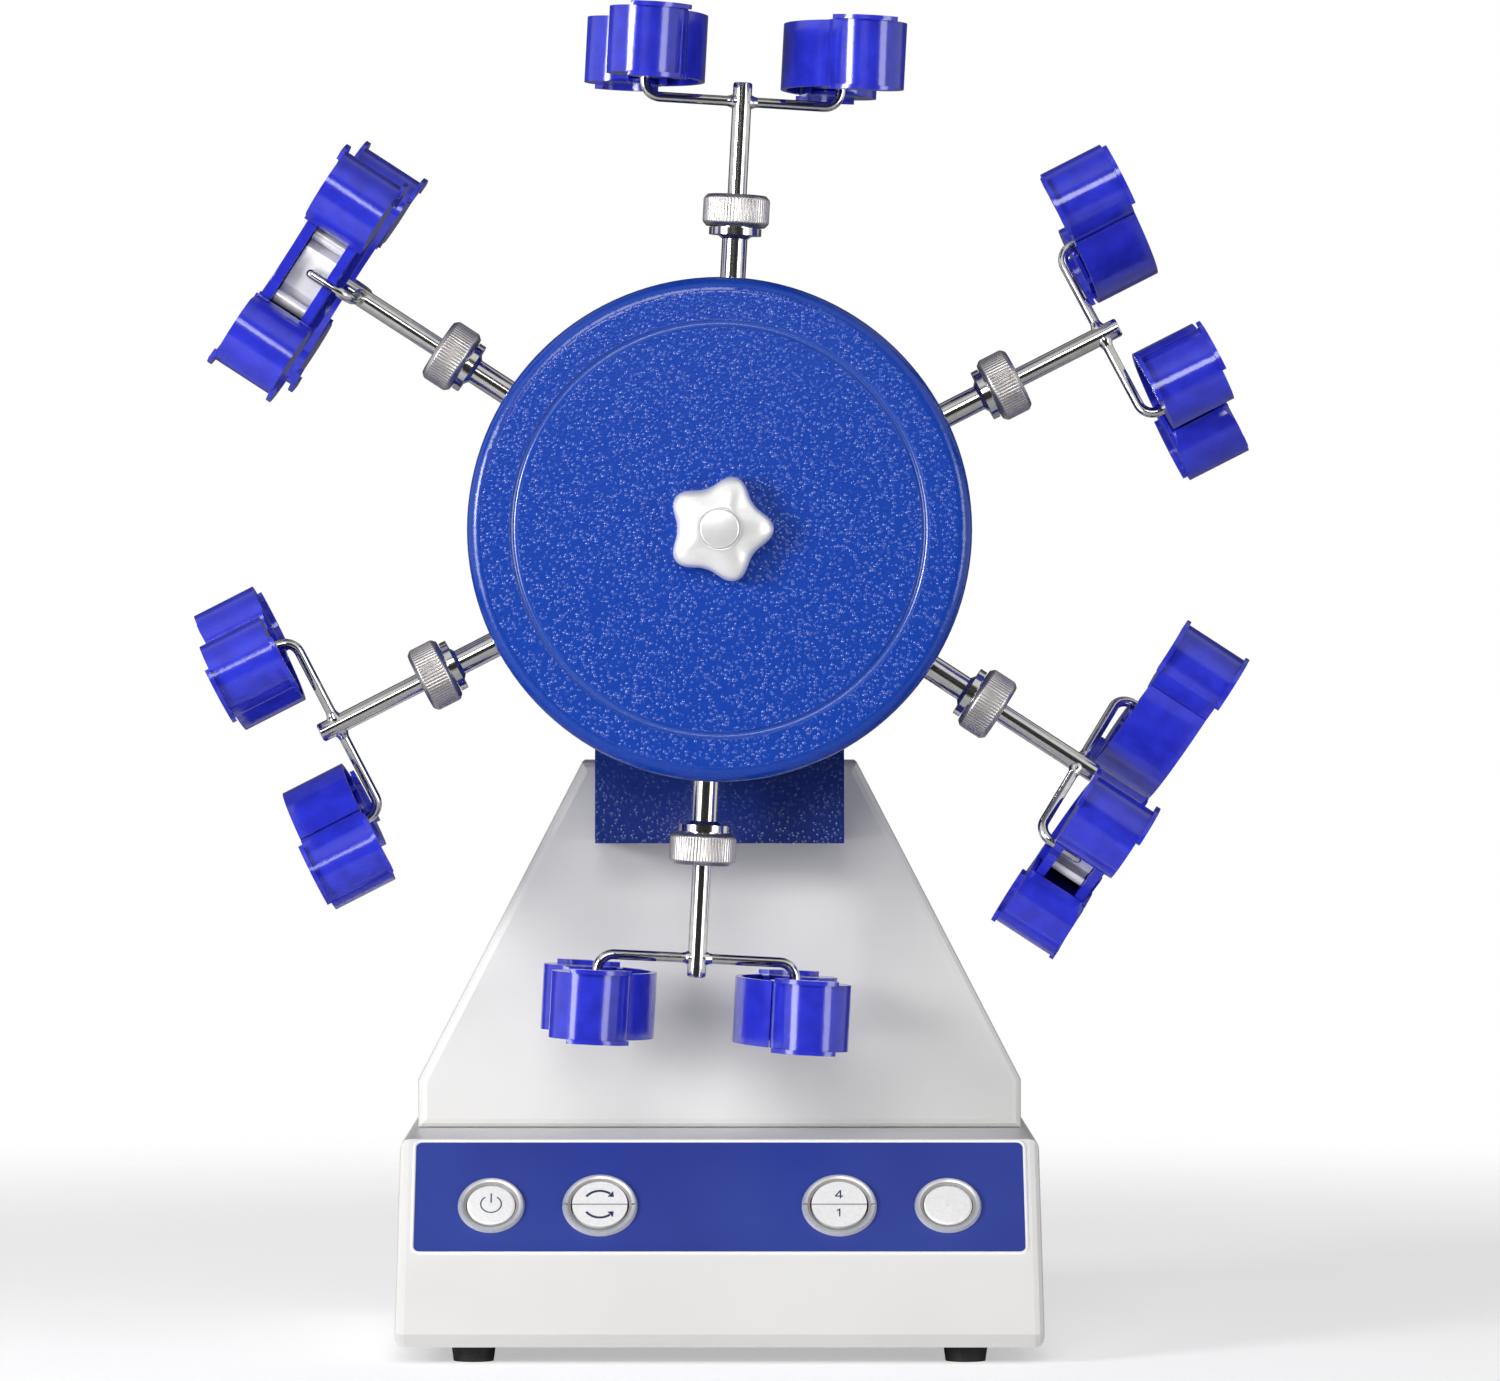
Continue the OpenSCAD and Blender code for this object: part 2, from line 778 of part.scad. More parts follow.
module spindle_bushes() color("peru")
    for (i = [1:arm_count])
        at_arm(i)
            difference() {
                translate([0, 0, rim_inner_r + 0.6])
                    cylinder(r = bush_r - seat, h = rim_wall - 0.9);
                translate([0, 0, rim_inner_r - cut])
                    cylinder(r = spindle_r + running, h = rim_wall + 2 * cut);
            }

// Hand knob with five lobes, a domed face and a flat boss in the middle
module star_knob() color("silver") on_axis() difference() {
    union() {
        translate([0, drum_front_y - 0.2, 0])
            rotate([90, 0, 0])
                intersection() {
                    linear_extrude(knob_h - 1)
                        polygon(star_outline(knob_r, knob_r * 0.78));
                    translate([0, 0, knob_h - 1 - knob_r * 2.6])
                        sphere(r = knob_r * 2.6, $fn = 96);
                }
        y_rod(knob_r * 0.36, drum_front_y - knob_h - 0.2, drum_front_y - 4);
    }
    y_rod(stud_r + 0.05, drum_front_y - knob_h + 1.6, drum_front_y + cut);
}

// Arm spindle: inner journal, pinion, shaft through the drum's rim, collet flange and threaded nose
module spindle(i) color("silver") at_arm(i) difference() {
    union() {
        translate([0, 0, journal_in])
            cylinder(r = journal_r, h = spindle_in - journal_in + cut);
        translate([0, 0, crown_pitch_r - pinion_face / 2])
            linear_extrude(pinion_face)
                polygon(gear_outline(pinion_teeth, pinion_r, tooth_add, tooth_ded, tooth_w, 0.5));
        translate([0, 0, spindle_in])
            cylinder(r = spindle_r, h = flange_at - spindle_in + cut);
        translate([0, 0, flange_at - 1.2])
            cylinder(r1 = spindle_r, r2 = spindle_r + 1.6, h = 1.2);
        translate([0, 0, flange_at])
            cylinder(r = flange_r, h = flange_t);
        translate([0, 0, flange_at])
            cylinder(r = nose_r, h = nose_end - flange_at);
    }
    translate([0, 0, collet_in])
        cylinder(r = rod_r + seat, h = nose_end - collet_in + cut);
}

// Knurled collet nut with straight flutes between its chamfered ends
module knurled_nut(i) color("darkgray") at_arm(i) difference() {
    union() {
        translate([0, 0, nut_in + 1.2])
            linear_extrude(nut_out - nut_in - 2.4)
                polygon(gear_outline(flute_count, nut_r - flute_d / 2, flute_d / 2, flute_d / 2, flute_w));
        translate([0, 0, nut_in])
            cylinder(r1 = nut_r - 1.5, r2 = nut_r - 0.4, h = 1.2);
        translate([0, 0, nut_out - 1.2])
            cylinder(r1 = nut_r - 0.4, r2 = nut_r - 1.5, h = 1.2);
    }
    translate([0, 0, nut_in - cut])
        cylinder(r = nose_r + 0.05, h = nose_end - nut_in + cut + 0.3);
    translate([0, 0, nut_in])
        cylinder(r = rod_r + 0.3, h = nut_l + cut);
}

// Bowed leaf spring that lies in a holder's channel
module leaf_spring() {
    leaf_r = (spring_half * spring_half + spring_rise * spring_rise) / (2 * spring_rise);
    crest = -wire_r - 0.2;
    translate([crest - leaf_r, 0, -spring_w / 2])
        linear_extrude(spring_w)
            intersection() {
                difference() {
                    circle(leaf_r, $fn = 96);
                    circle(leaf_r - spring_t, $fn = 96);
                }
                translate([0, -spring_half])
                    square([leaf_r + cut, 2 * spring_half]);
            }
}

// Rod with its bent cross wire; the wire's ends run out into the two holders
module arm(i) color("silver") {
    at_arm(i)
        translate([0, 0, collet_in + 1])
            cylinder(r = rod_r, h = rod_tip - collet_in - 1);
    at_arm(i)
        rotate([0, 0, arm_turn[i - 1]]) {
            translate([-wire_span + wire_bend, 0, wire_at])
                rotate([0, 90, 0])
                    cylinder(r = wire_r, h = 2 * (wire_span - wire_bend));
            for (side = [0, 180])
                rotate([0, 0, side]) {
                    translate([wire_span - wire_bend, 0, wire_at + wire_bend])
                        rotate([90, 0, 0])
                            rotate_extrude(angle = 90, start = 270)
                                translate([wire_bend, 0])
                                    circle(wire_r);
                    translate([wire_span, 0, wire_at + wire_bend])
                        cylinder(r = wire_r, h = holder_at + 1 - wire_at - wire_bend);
                }
        }
    for (side = [-1, 1])
        at_holder(i, side)
            leaf_spring();
}

// Moves children from a saddle's centre to its place on the +Y half of a holder
module at_saddle() {
    translate([saddle_out, saddle_c, 0])
        children();
}

// Children at both edges across the bracelet, drawn for the +Z edge
module both_edges() {
    children();
    mirror([0, 0, 1])
        children();
}

// One end of a holder: a round shell that is open towards the channel, with a straight inner wall
module saddle() {
    inner_wall_x = -saddle_r + 0.05;
    plate_z0 = channel_w / 2 + slide_gap;
    at_saddle()
        difference() {
            union() {
                translate([0, 0, -holder_w / 2])
                    linear_extrude(holder_w)
                        difference() {
                            union() {
                                circle(saddle_r);
                                translate([inner_wall_x, -saddle_r])
                                    square([saddle_r, saddle_r]);
                            }
                            circle(saddle_r - plastic_wall);
                            translate([inner_wall_x + plastic_wall, -2 * saddle_r])
                                square([-inner_wall_x - plastic_wall, 2 * saddle_r]);
                        }
                both_edges()
                    translate([0, 0, plate_z0])
                        cylinder(r = saddle_r - plastic_wall / 2, h = holder_w / 2 - plate_z0);
            }
            both_edges()
                difference() {
                    translate([0.4, -saddle_r - cut, holder_w / 2 - corner_r])
                        cube([saddle_r + cut, corner_r + cut, corner_r + cut]);
                    translate([0, -saddle_r + corner_r, holder_w / 2 - corner_r])
                        rotate([0, 90, 0])
                            cylinder(r = corner_r, h = saddle_r + 2 * cut);
                }
        }
    at_saddle()
        both_edges()
            translate([0, 0, holder_w / 2 - 0.2])
                linear_extrude(lip_t + 0.2)
                    saddle_lip();
}

// Lip that keeps the bracelet on the saddle's end
module saddle_lip() {
    reach = 3 * saddle_r;
    intersection() {
        difference() {
            circle(saddle_r + lip_out);
            circle(saddle_r - plastic_wall);
        }
        polygon([
            [0, 0],
            [reach * cos(lip_from), reach * sin(lip_from)],
            [0, 2 * reach],
            [reach * cos(lip_to), reach * sin(lip_to)]
        ]);
    }
}

// Channel with two rails and a floor, which the jaw slides over; the wire's end lies in a slot of one rail
module channel() {
    difference() {
        translate([channel_lo, -channel_end, -channel_w / 2])
            cube([channel_hi - channel_lo, 2 * channel_end, channel_w]);
        translate([channel_lo + floor_t, -channel_end - cut, -channel_w / 2 + rail_w])
            cube([channel_hi - channel_lo, 2 * channel_end + 2 * cut, channel_w - 2 * rail_w]);
        translate([0, 0, -channel_w])
            cylinder(r = wire_r + seat, h = channel_w);
        translate([0, -wire_r * 0.8, -channel_w])
            cube([channel_hi + cut, wire_r * 1.6, channel_w]);
    }
}

// Bowed back of a holder, from the fixed saddle to just short of the sliding jaw's inner wall
module bowed_back() {
    translate([0, 0, -holder_w / 2])
        linear_extrude(holder_w)
            intersection() {
                translate([bow_r - bow_in, 0])
                    difference() {
                        circle(bow_r, $fn = 96);
                        circle(bow_r - plastic_wall, $fn = 96);
                    }
                polygon([
                    [shell_in_x - slide_gap, saddle_c],
                    [shell_in_x - slide_gap, 0],
                    [shell_in_x + plastic_wall / 2, -saddle_c * 0.6],
                    [shell_in_x + plastic_wall / 2, -saddle_c],
                    [-bow_in - cut, -saddle_c],
                    [-bow_in - cut, saddle_c]
                ]);
            }
}

// Ribs that join the bowed back, the channel and the fixed saddle
module holder_ribs() {
    for (y = [-5, 5])
        translate([-bow_in + plastic_wall * 0.7, y - 0.75, -channel_w / 2])
            cube([channel_lo + floor_t / 2 + bow_in - plastic_wall * 0.7, 1.5, channel_w]);
    translate([shell_in_x + plastic_wall / 2, -channel_end, -channel_w / 2])
        cube([plastic_wall + slide_gap, 5, channel_w]);
}

module holder_frames(i) color("blue")
    for (side = [-1, 1])
        at_holder(i, side) {
            mirror([0, 1, 0])
                saddle();
            channel();
            bowed_back();
            holder_ribs();
        }

// Sliding half of a holder
module jaw(i, side) color("blue")
    at_holder(i, side)
        saddle();

base_shell();
bottom_plate();
rubber_feet();
screws();
control_panel();
button_bezels();
circuit_board();
power_inlet();
tower_shell();
gear_housing();
drive_motor();
drive_pinion();
crown_gear();
shaft_bearings();
drum_shaft();
drum_body();
drum_back_plate();
drum_cover();
spindle_bushes();
star_knob();
on_off_button();
start_stop_button();
direction_rocker();
speed_rocker();
for (i = [1:arm_count]) {
    spindle(i);
    knurled_nut(i);
    arm(i);
    holder_frames(i);
    jaw(i, 1);
    jaw(i, -1);
}
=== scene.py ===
# Twelve-place watch winder with six turning arms round a hammered blue drum, dressed for its studio view.
# Metres, +Z up, the front faces -Y. Lengths in the helpers below are written in millimetres.
import json
import math

import bmesh
import bpy
from mathutils import Matrix, Vector


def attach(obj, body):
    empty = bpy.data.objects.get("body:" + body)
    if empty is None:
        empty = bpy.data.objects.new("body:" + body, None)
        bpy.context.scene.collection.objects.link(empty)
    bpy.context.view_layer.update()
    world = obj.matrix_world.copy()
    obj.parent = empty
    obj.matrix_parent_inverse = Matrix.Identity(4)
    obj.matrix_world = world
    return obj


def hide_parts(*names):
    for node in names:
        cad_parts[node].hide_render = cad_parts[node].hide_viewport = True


MM = 0.001
WHITE = (1.0, 1.0, 1.0, 1.0)

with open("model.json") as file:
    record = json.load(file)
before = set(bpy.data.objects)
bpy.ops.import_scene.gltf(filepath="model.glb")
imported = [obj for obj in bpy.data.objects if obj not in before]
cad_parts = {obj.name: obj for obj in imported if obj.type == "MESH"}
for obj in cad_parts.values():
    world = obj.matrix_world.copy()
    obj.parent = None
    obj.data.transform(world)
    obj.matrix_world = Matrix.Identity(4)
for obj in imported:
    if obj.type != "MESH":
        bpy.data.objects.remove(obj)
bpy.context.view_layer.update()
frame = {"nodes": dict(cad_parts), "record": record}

# Places and sizes that the winder's own drawing gives, in millimetres and degrees

# the drum's axis, the depth of the arms' axes and of the drum's front
AXIS_Z = 257
ARM_Y = -52
DRUM_FRONT_Y = -71
# direction of the first arm, and how far each arm is turned in its collet
ARM_START = 87
ARM_TURNS = (8.5, -19, -36, -4, -12, 85)
# the rod and the cross wire through it; distances run from the drum's axis along the arm, and the wire
# stops short of the middle of its holder
ROD_R = 3
ROD_FROM = 79.2
ROD_TO = 140
WIRE_R = 1.6
WIRE_BEND_R = 5
WIRE_SPAN = 31
WIRE_AT = 134
WIRE_SHORT = 0.6
HOLDER_AT = 149.2
# the collet nut: its two ends, the floor of its bore, and the hole that the rod passes through
NUT_FROM = 94.8
NUT_TO = 104.8
NUT_FLOOR_AT = 101.9
NUT_BORE_R = 6.1
NUT_HOLE_R = 3.3
# the round cover of the drum and the groove in it
COVER_HOLE_R = 4.3
COVER_R = 74.28
COVER_DEPTH = 3.7
GROOVE_IN_R = 62.7
GROOVE_OUT_R = 65.3
# the sloping front of the console, and the panel on it, counted up the slope from its lower lip
FRONT_Y = -97
LIP_Z = 9.4
PANEL_SLOPE = math.radians(40)
PANEL_WIDTH = 189.6
PANEL_LOW_V = 31.34
PANEL_HIGH_V = 73.34
PANEL_CORNER_R = 2
# the four buttons: two small round ones outside, two larger rockers inside
BUTTON_V = 48.56
OUTER_BUTTON_X = 71
INNER_BUTTON_X = 37.2
OUTER_FACE_R = 7.8
INNER_FACE_R = 9.1

# Sizes of what only this scene shows, in millimetres

KNOB_R = 16.8
KNOB_LOBES = 5
KNOB_WAIST = 0.78
KNOB_GAP = 0.2
HOLDER_ROUND = 0.2
NUT_RIDGES = 64
KNURL_DEPTH = 0.26
GROOVE_DEPTH = 0.85
GROOVE_LIP_FALL = 0.02
COVER_EDGE_FALL = 0.12
# the leaf spring in a holder's channel, and a thin black sheet laid on the channel's floor under it, which
# makes that floor black
SPRING_HALF_WIDTH = 5.4
SPRING_THICK = 0.45
CHANNEL_SHEET_X = -5.4
CHANNEL_SHEET_HALF_LENGTH = 21.2
CHANNEL_SHEET_HALF_WIDTH = 5.68
CHANNEL_SHEET_THICK = 0.15
# heights over the slope: the print on a push button, which falls off with its crown, and on a rocker
PRINT_FOOT = 0.9
PUSH_PRINT = 1.425
PUSH_FALL = 0.3
PUSH_FALL_R = 6.9
ROCKER_PRINT = 1.225
PRINT_WIDTH = 0.42
FIGURE_WIDTH = 0.45
ARROW_WIDTH = 0.8
# painted shade: a grey ring lies on the bezel's inner side and rises with it, this much for each millimetre
# outward
SHADE_RING_WIDTH = 0.8
SHADE_RING_INSET = 0.42
SHADE_RING_HEIGHT = 0.67
BEZEL_RISE = 0.513
SHADE_FOOT = 0.05
# painted shadow of the rocker's split: a grey line that runs across a rocker and on over its bezel
JOINT_WIDTH = 0.56
ROCKER_JOINT_INSET = 0.5
ROCKER_JOINT_HEIGHT = 0.85
BEZEL_JOINT_FROM = 0.9
BEZEL_JOINT_TO = 2.5
BEZEL_JOINT_HEIGHT = 0.35
# the raised line of the shell round the panel
LINE_IN_R = 1.95
LINE_OUT_R = 3.1
LINE_HEIGHT = 0.32
LINE_FOOT = -0.1
LINE_LEAN = 0.25

# Camera and light: metres, watts, and levels at which a colour renders about as it is written

CAMERA_PLACE = (0, -2.652, 0.225)
CAMERA_LENS = 199.7
CAMERA_SHIFT_X = 0.0203
CAMERA_SHIFT_Y = -0.0387
ROOM_LEVEL = 0.31
# what polished pieces mirror, from straight in front of the winder, past its sides, to straight behind it
WALL_LEVELS = (
    (0.0, 0.03), (0.07, 0.04), (0.12, 0.9), (0.3, 1.0), (0.72, 0.9), (0.82, 0.1), (0.965, 0.08), (1.0, 0.12),
)
CEILING_FROM = 0.72
CEILING_TO = 0.93
CEILING_LEVEL = 0.22
STRIP_ANGLE = 48
STRIP_DISTANCE = 2.1
STRIP_Z = 0.3
STRIP_AIM = (0, 0, 0.25)
STRIP_SIZE = (0.7, 0.95)
STRIP_LEFT_POWER = 18
STRIP_RIGHT_POWER = 11
KEY_PLACE = (-0.88, -0.84, 0.45)
KEY_AIM = (0, -0.05, 0.24)
KEY_SIZE = (0.34, 0.34)
KEY_POWER = 5.9
BAR_PLACE = (-0.25, -2.25, 0.98)
BAR_AIM = (0, -0.02, 0.22)
BAR_SIZE = (0.85, 0.5)
BAR_POWER = 12
FLOOR_R = 2.2
FLOOR_SIDES = 64
FLOOR_FADE_FROM = 0.45
FLOOR_FADE_TO = 1.1
FLOOR_GLOW = 0.46

# Frames of the winder's parts


def on_face(u, v, w):
    """Point on the sloping front, from millimetres across, up the slope and out of it."""
    up, out = math.cos(PANEL_SLOPE), math.sin(PANEL_SLOPE)
    return Vector((u, FRONT_Y + v * out - w * up, LIP_Z + v * up + w * out)) * MM


def drum_frame(depth):
    """Frame on the drum's axis at a depth: its Z comes out of the drum's front."""
    return Matrix.Translation(Vector((0, depth, AXIS_Z)) * MM) @ Matrix.Rotation(math.pi / 2, 4, "X")


def arm_frame(number):
    """Frame of an arm: its Z runs out along the rod, its Y stays in depth."""
    angle = math.radians(ARM_START - (number - 1) * 60)
    turn = Matrix.Rotation(math.pi / 2 - angle, 4, "Y")
    return Matrix.Translation(Vector((0, ARM_Y, AXIS_Z)) * MM) @ turn


def holder_frame(number, side):
    """Frame of a watch holder: X out along the cross wire, Y along the holder, Z out along the arm."""
    turn = math.radians(ARM_TURNS[number - 1] + (0 if side > 0 else 180))
    place = Matrix.Translation(Vector((WIRE_SPAN, 0, HOLDER_AT)) * MM)
    return arm_frame(number) @ Matrix.Rotation(turn, 4, "Z") @ place


# Finishes


def linear(sheet_colour):
    """sRGB hex colour as linear red, green, blue and alpha."""
    channels = [int(sheet_colour[i : i + 2], 16) / 255 for i in (1, 3, 5)]
    return [c / 12.92 if c <= 0.04045 else ((c + 0.055) / 1.055) ** 2.4 for c in channels] + [1.0]


def tones(low, high, start=0.35, end=0.65):
    """Colour stops of two tones, for a pattern that blends them."""
    return ((start, linear(low)), (end, linear(high)))


def fill(node, inputs):
    """Sets a node's inputs, by name or number; an output of another node is linked."""
    for name, value in inputs.items():
        if isinstance(value, bpy.types.NodeSocket):
            node.id_data.links.new(value, node.inputs[name])
        else:
            node.inputs[name].default_value = value


def add_node(tree, kind, inputs=None, stops=(), **settings):
    """Adds a shader node with its settings and colour stops, and fills its inputs."""
    node = tree.nodes.new("ShaderNode" + kind)
    for name, value in settings.items():
        setattr(node, name, value)
    if stops:
        # a new ramp already has two stops
        for _ in stops[2:]:
            node.color_ramp.elements.new(0.5)
        for element, (position, colour) in zip(node.color_ramp.elements, stops):
            element.position = position
            element.color = colour
    fill(node, inputs or {})
    return node


def new_finish(name):
    """An empty material, its node tree, its surface shader and the place on the object in metres."""
    finish = bpy.data.materials.new(name)
    finish.use_nodes = True
    tree = finish.node_tree
    place = add_node(tree, "TexCoord").outputs["Object"]
    return finish, tree, tree.nodes["Principled BSDF"], place


# A pattern's scale is the number of its cells to the millimetre, over MM


def moulded_abs():
    """ABS, injection moulded: an even pale grey with a soft gloss and the mould's fine grain."""
    finish, tree, shader, place = new_finish("abs_moulded_white")
    # spark-eroded grain of about 0.3 mm, drawn at 0.7 mm so that it can show
    grain = add_node(tree, "TexNoise", {"Vector": place, "Scale": 1.4 / MM, "Detail": 3.0})
    bump = add_node(tree, "Bump", {"Height": grain.outputs["Fac"], "Strength": 0.05, "Distance": 0.2 * MM})
    # the colour drifts by a shade over about 70 mm
    cloud = add_node(tree, "TexNoise", {"Vector": place, "Scale": 0.014 / MM, "Detail": 2.0})
    tone = add_node(tree, "ValToRGB", {"Fac": cloud.outputs["Fac"]}, stops=tones("#dfdedb", "#e5e4e1"))
    fill(shader, {
        "Base Color": tone.outputs["Color"], "Roughness": 0.38, "IOR": 1.53,
        "Normal": bump.outputs["Normal"],
    })
    return finish


def print_film():
    """Polyester overlay, screen printed on its back: deep blue under a slightly satin clear face."""
    finish, tree, shader, place = new_finish("polyester_panel_blue")
    # the film's satin texture is near 0.1 mm, drawn at 0.45 mm so that it can show
    grain = add_node(tree, "TexNoise", {"Vector": place, "Scale": 2.2 / MM, "Detail": 1.0})
    bump = add_node(tree, "Bump", {"Height": grain.outputs["Fac"], "Strength": 0.06, "Distance": 0.1 * MM})
    # the ink drifts by a shade over about 55 mm
    cloud = add_node(tree, "TexNoise", {"Vector": place, "Scale": 0.018 / MM, "Detail": 2.0})
    tone = add_node(tree, "ValToRGB", {"Fac": cloud.outputs["Fac"]}, stops=tones("#28388b", "#2e4093"))
    fill(shader, {
        "Base Color": tone.outputs["Color"], "Roughness": 0.34, "IOR": 1.57,
        "Normal": bump.outputs["Normal"],
    })
    return finish


def hammered_enamel(name, low, high, relief, shine=0.6):
    """Hammer-finish enamel, sprayed: small raised beads on an even coat, each with a glint on one side."""
    finish, tree, shader, place = new_finish(name)
    # the beads stand 1.25 mm apart, in patches of two or three millimetres
    beads = add_node(tree, "TexVoronoi", {"Vector": place, "Scale": 0.8 / MM})
    dome = add_node(
        tree, "MapRange", {"Value": beads.outputs["Distance"], "From Min": 0.5, "From Max": 0.05},
        interpolation_type="SMOOTHSTEP",
    )
    patch = add_node(tree, "TexNoise", {"Vector": place, "Scale": 0.42 / MM, "Detail": 2.0})
    share = add_node(tree, "MapRange", {
        "Value": patch.outputs["Fac"], "From Min": 0.34, "From Max": 0.56, "To Min": 0.3,
    })
    raised = add_node(
        tree, "Math", {0: dome.outputs["Result"], 1: share.outputs["Result"]}, operation="MULTIPLY"
    )
    # between the beads the paint has a faint orange peel, about 0.9 mm wide
    peel = add_node(tree, "TexNoise", {"Vector": place, "Scale": 1.1 / MM, "Detail": 1.0})
    height = add_node(
        tree, "Math", {0: peel.outputs["Fac"], 1: 0.3, 2: raised.outputs["Value"]}, operation="MULTIPLY_ADD"
    )
    bump = add_node(tree, "Bump", {
        "Height": height.outputs["Value"], "Strength": 1.0, "Distance": relief * MM,
    })
    tone = add_node(tree, "ValToRGB", {"Fac": raised.outputs["Value"]}, stops=tones(low, high, 0.0, 0.8))
    fill(shader, {
        "Base Color": tone.outputs["Color"], "Roughness": 0.2, "IOR": 1.5, "Specular IOR Level": shine,
        "Normal": bump.outputs["Normal"],
    })
    return finish


def moulded_polypropylene():
    """Polypropylene, injection moulded: a strong ultramarine, glossy and a little milky at its edges."""
    finish, tree, shader, place = new_finish("polypropylene_moulded_blue")
    # flow marks of the moulding, about 6 mm wide
    flow = add_node(tree, "TexNoise", {"Vector": place, "Scale": 0.16 / MM, "Detail": 3.0})
    tone = add_node(tree, "ValToRGB", {"Fac": flow.outputs["Fac"]}, stops=tones("#252bb0", "#2c34c6"))
    # the tool's polish leaves ripples of about 1 mm
    ripple = add_node(tree, "TexNoise", {"Vector": place, "Scale": 0.9 / MM, "Detail": 2.0})
    bump = add_node(tree, "Bump", {"Height": ripple.outputs["Fac"], "Strength": 0.1, "Distance": 0.2 * MM})
    fill(shader, {
        "Base Color": tone.outputs["Color"], "Roughness": 0.14, "IOR": 1.49, "Specular IOR Level": 0.65,
        "Subsurface Weight": 0.12, "Subsurface Radius": (0.4, 0.4, 1.0), "Subsurface Scale": 1.5 * MM,
        "Normal": bump.outputs["Normal"],
    })
    return finish


def bare_metal(name, low, high, roughness, grains, strength, metallic=1.0):
    """Metal with the grain that its last tool left, this many grains to the millimetre."""
    finish, tree, shader, place = new_finish(name)
    grain = add_node(tree, "TexNoise", {"Vector": place, "Scale": grains / MM, "Detail": 3.0})
    tone = add_node(tree, "ValToRGB", {"Fac": grain.outputs["Fac"]}, stops=tones(low, high))
    bump = add_node(tree, "Bump", {
        "Height": grain.outputs["Fac"], "Strength": strength, "Distance": 0.1 * MM,
    })
    fill(shader, {
        "Base Color": tone.outputs["Color"], "Metallic": metallic, "Roughness": roughness,
        "Normal": bump.outputs["Normal"],
    })
    return finish


def moulded_plain(name, low, high, roughness, ior, grains=0.9, strength=0.1):
    """Plastic, rubber or print in one colour, with this many grains to the millimetre."""
    finish, tree, shader, place = new_finish(name)
    grain = add_node(tree, "TexNoise", {"Vector": place, "Scale": grains / MM, "Detail": 3.0})
    tone = add_node(tree, "ValToRGB", {"Fac": grain.outputs["Fac"]}, stops=tones(low, high))
    bump = add_node(tree, "Bump", {
        "Height": grain.outputs["Fac"], "Strength": strength, "Distance": 0.2 * MM,
    })
    fill(shader, {
        "Base Color": tone.outputs["Color"], "Roughness": roughness, "IOR": ior,
        "Normal": bump.outputs["Normal"],
    })
    return finish


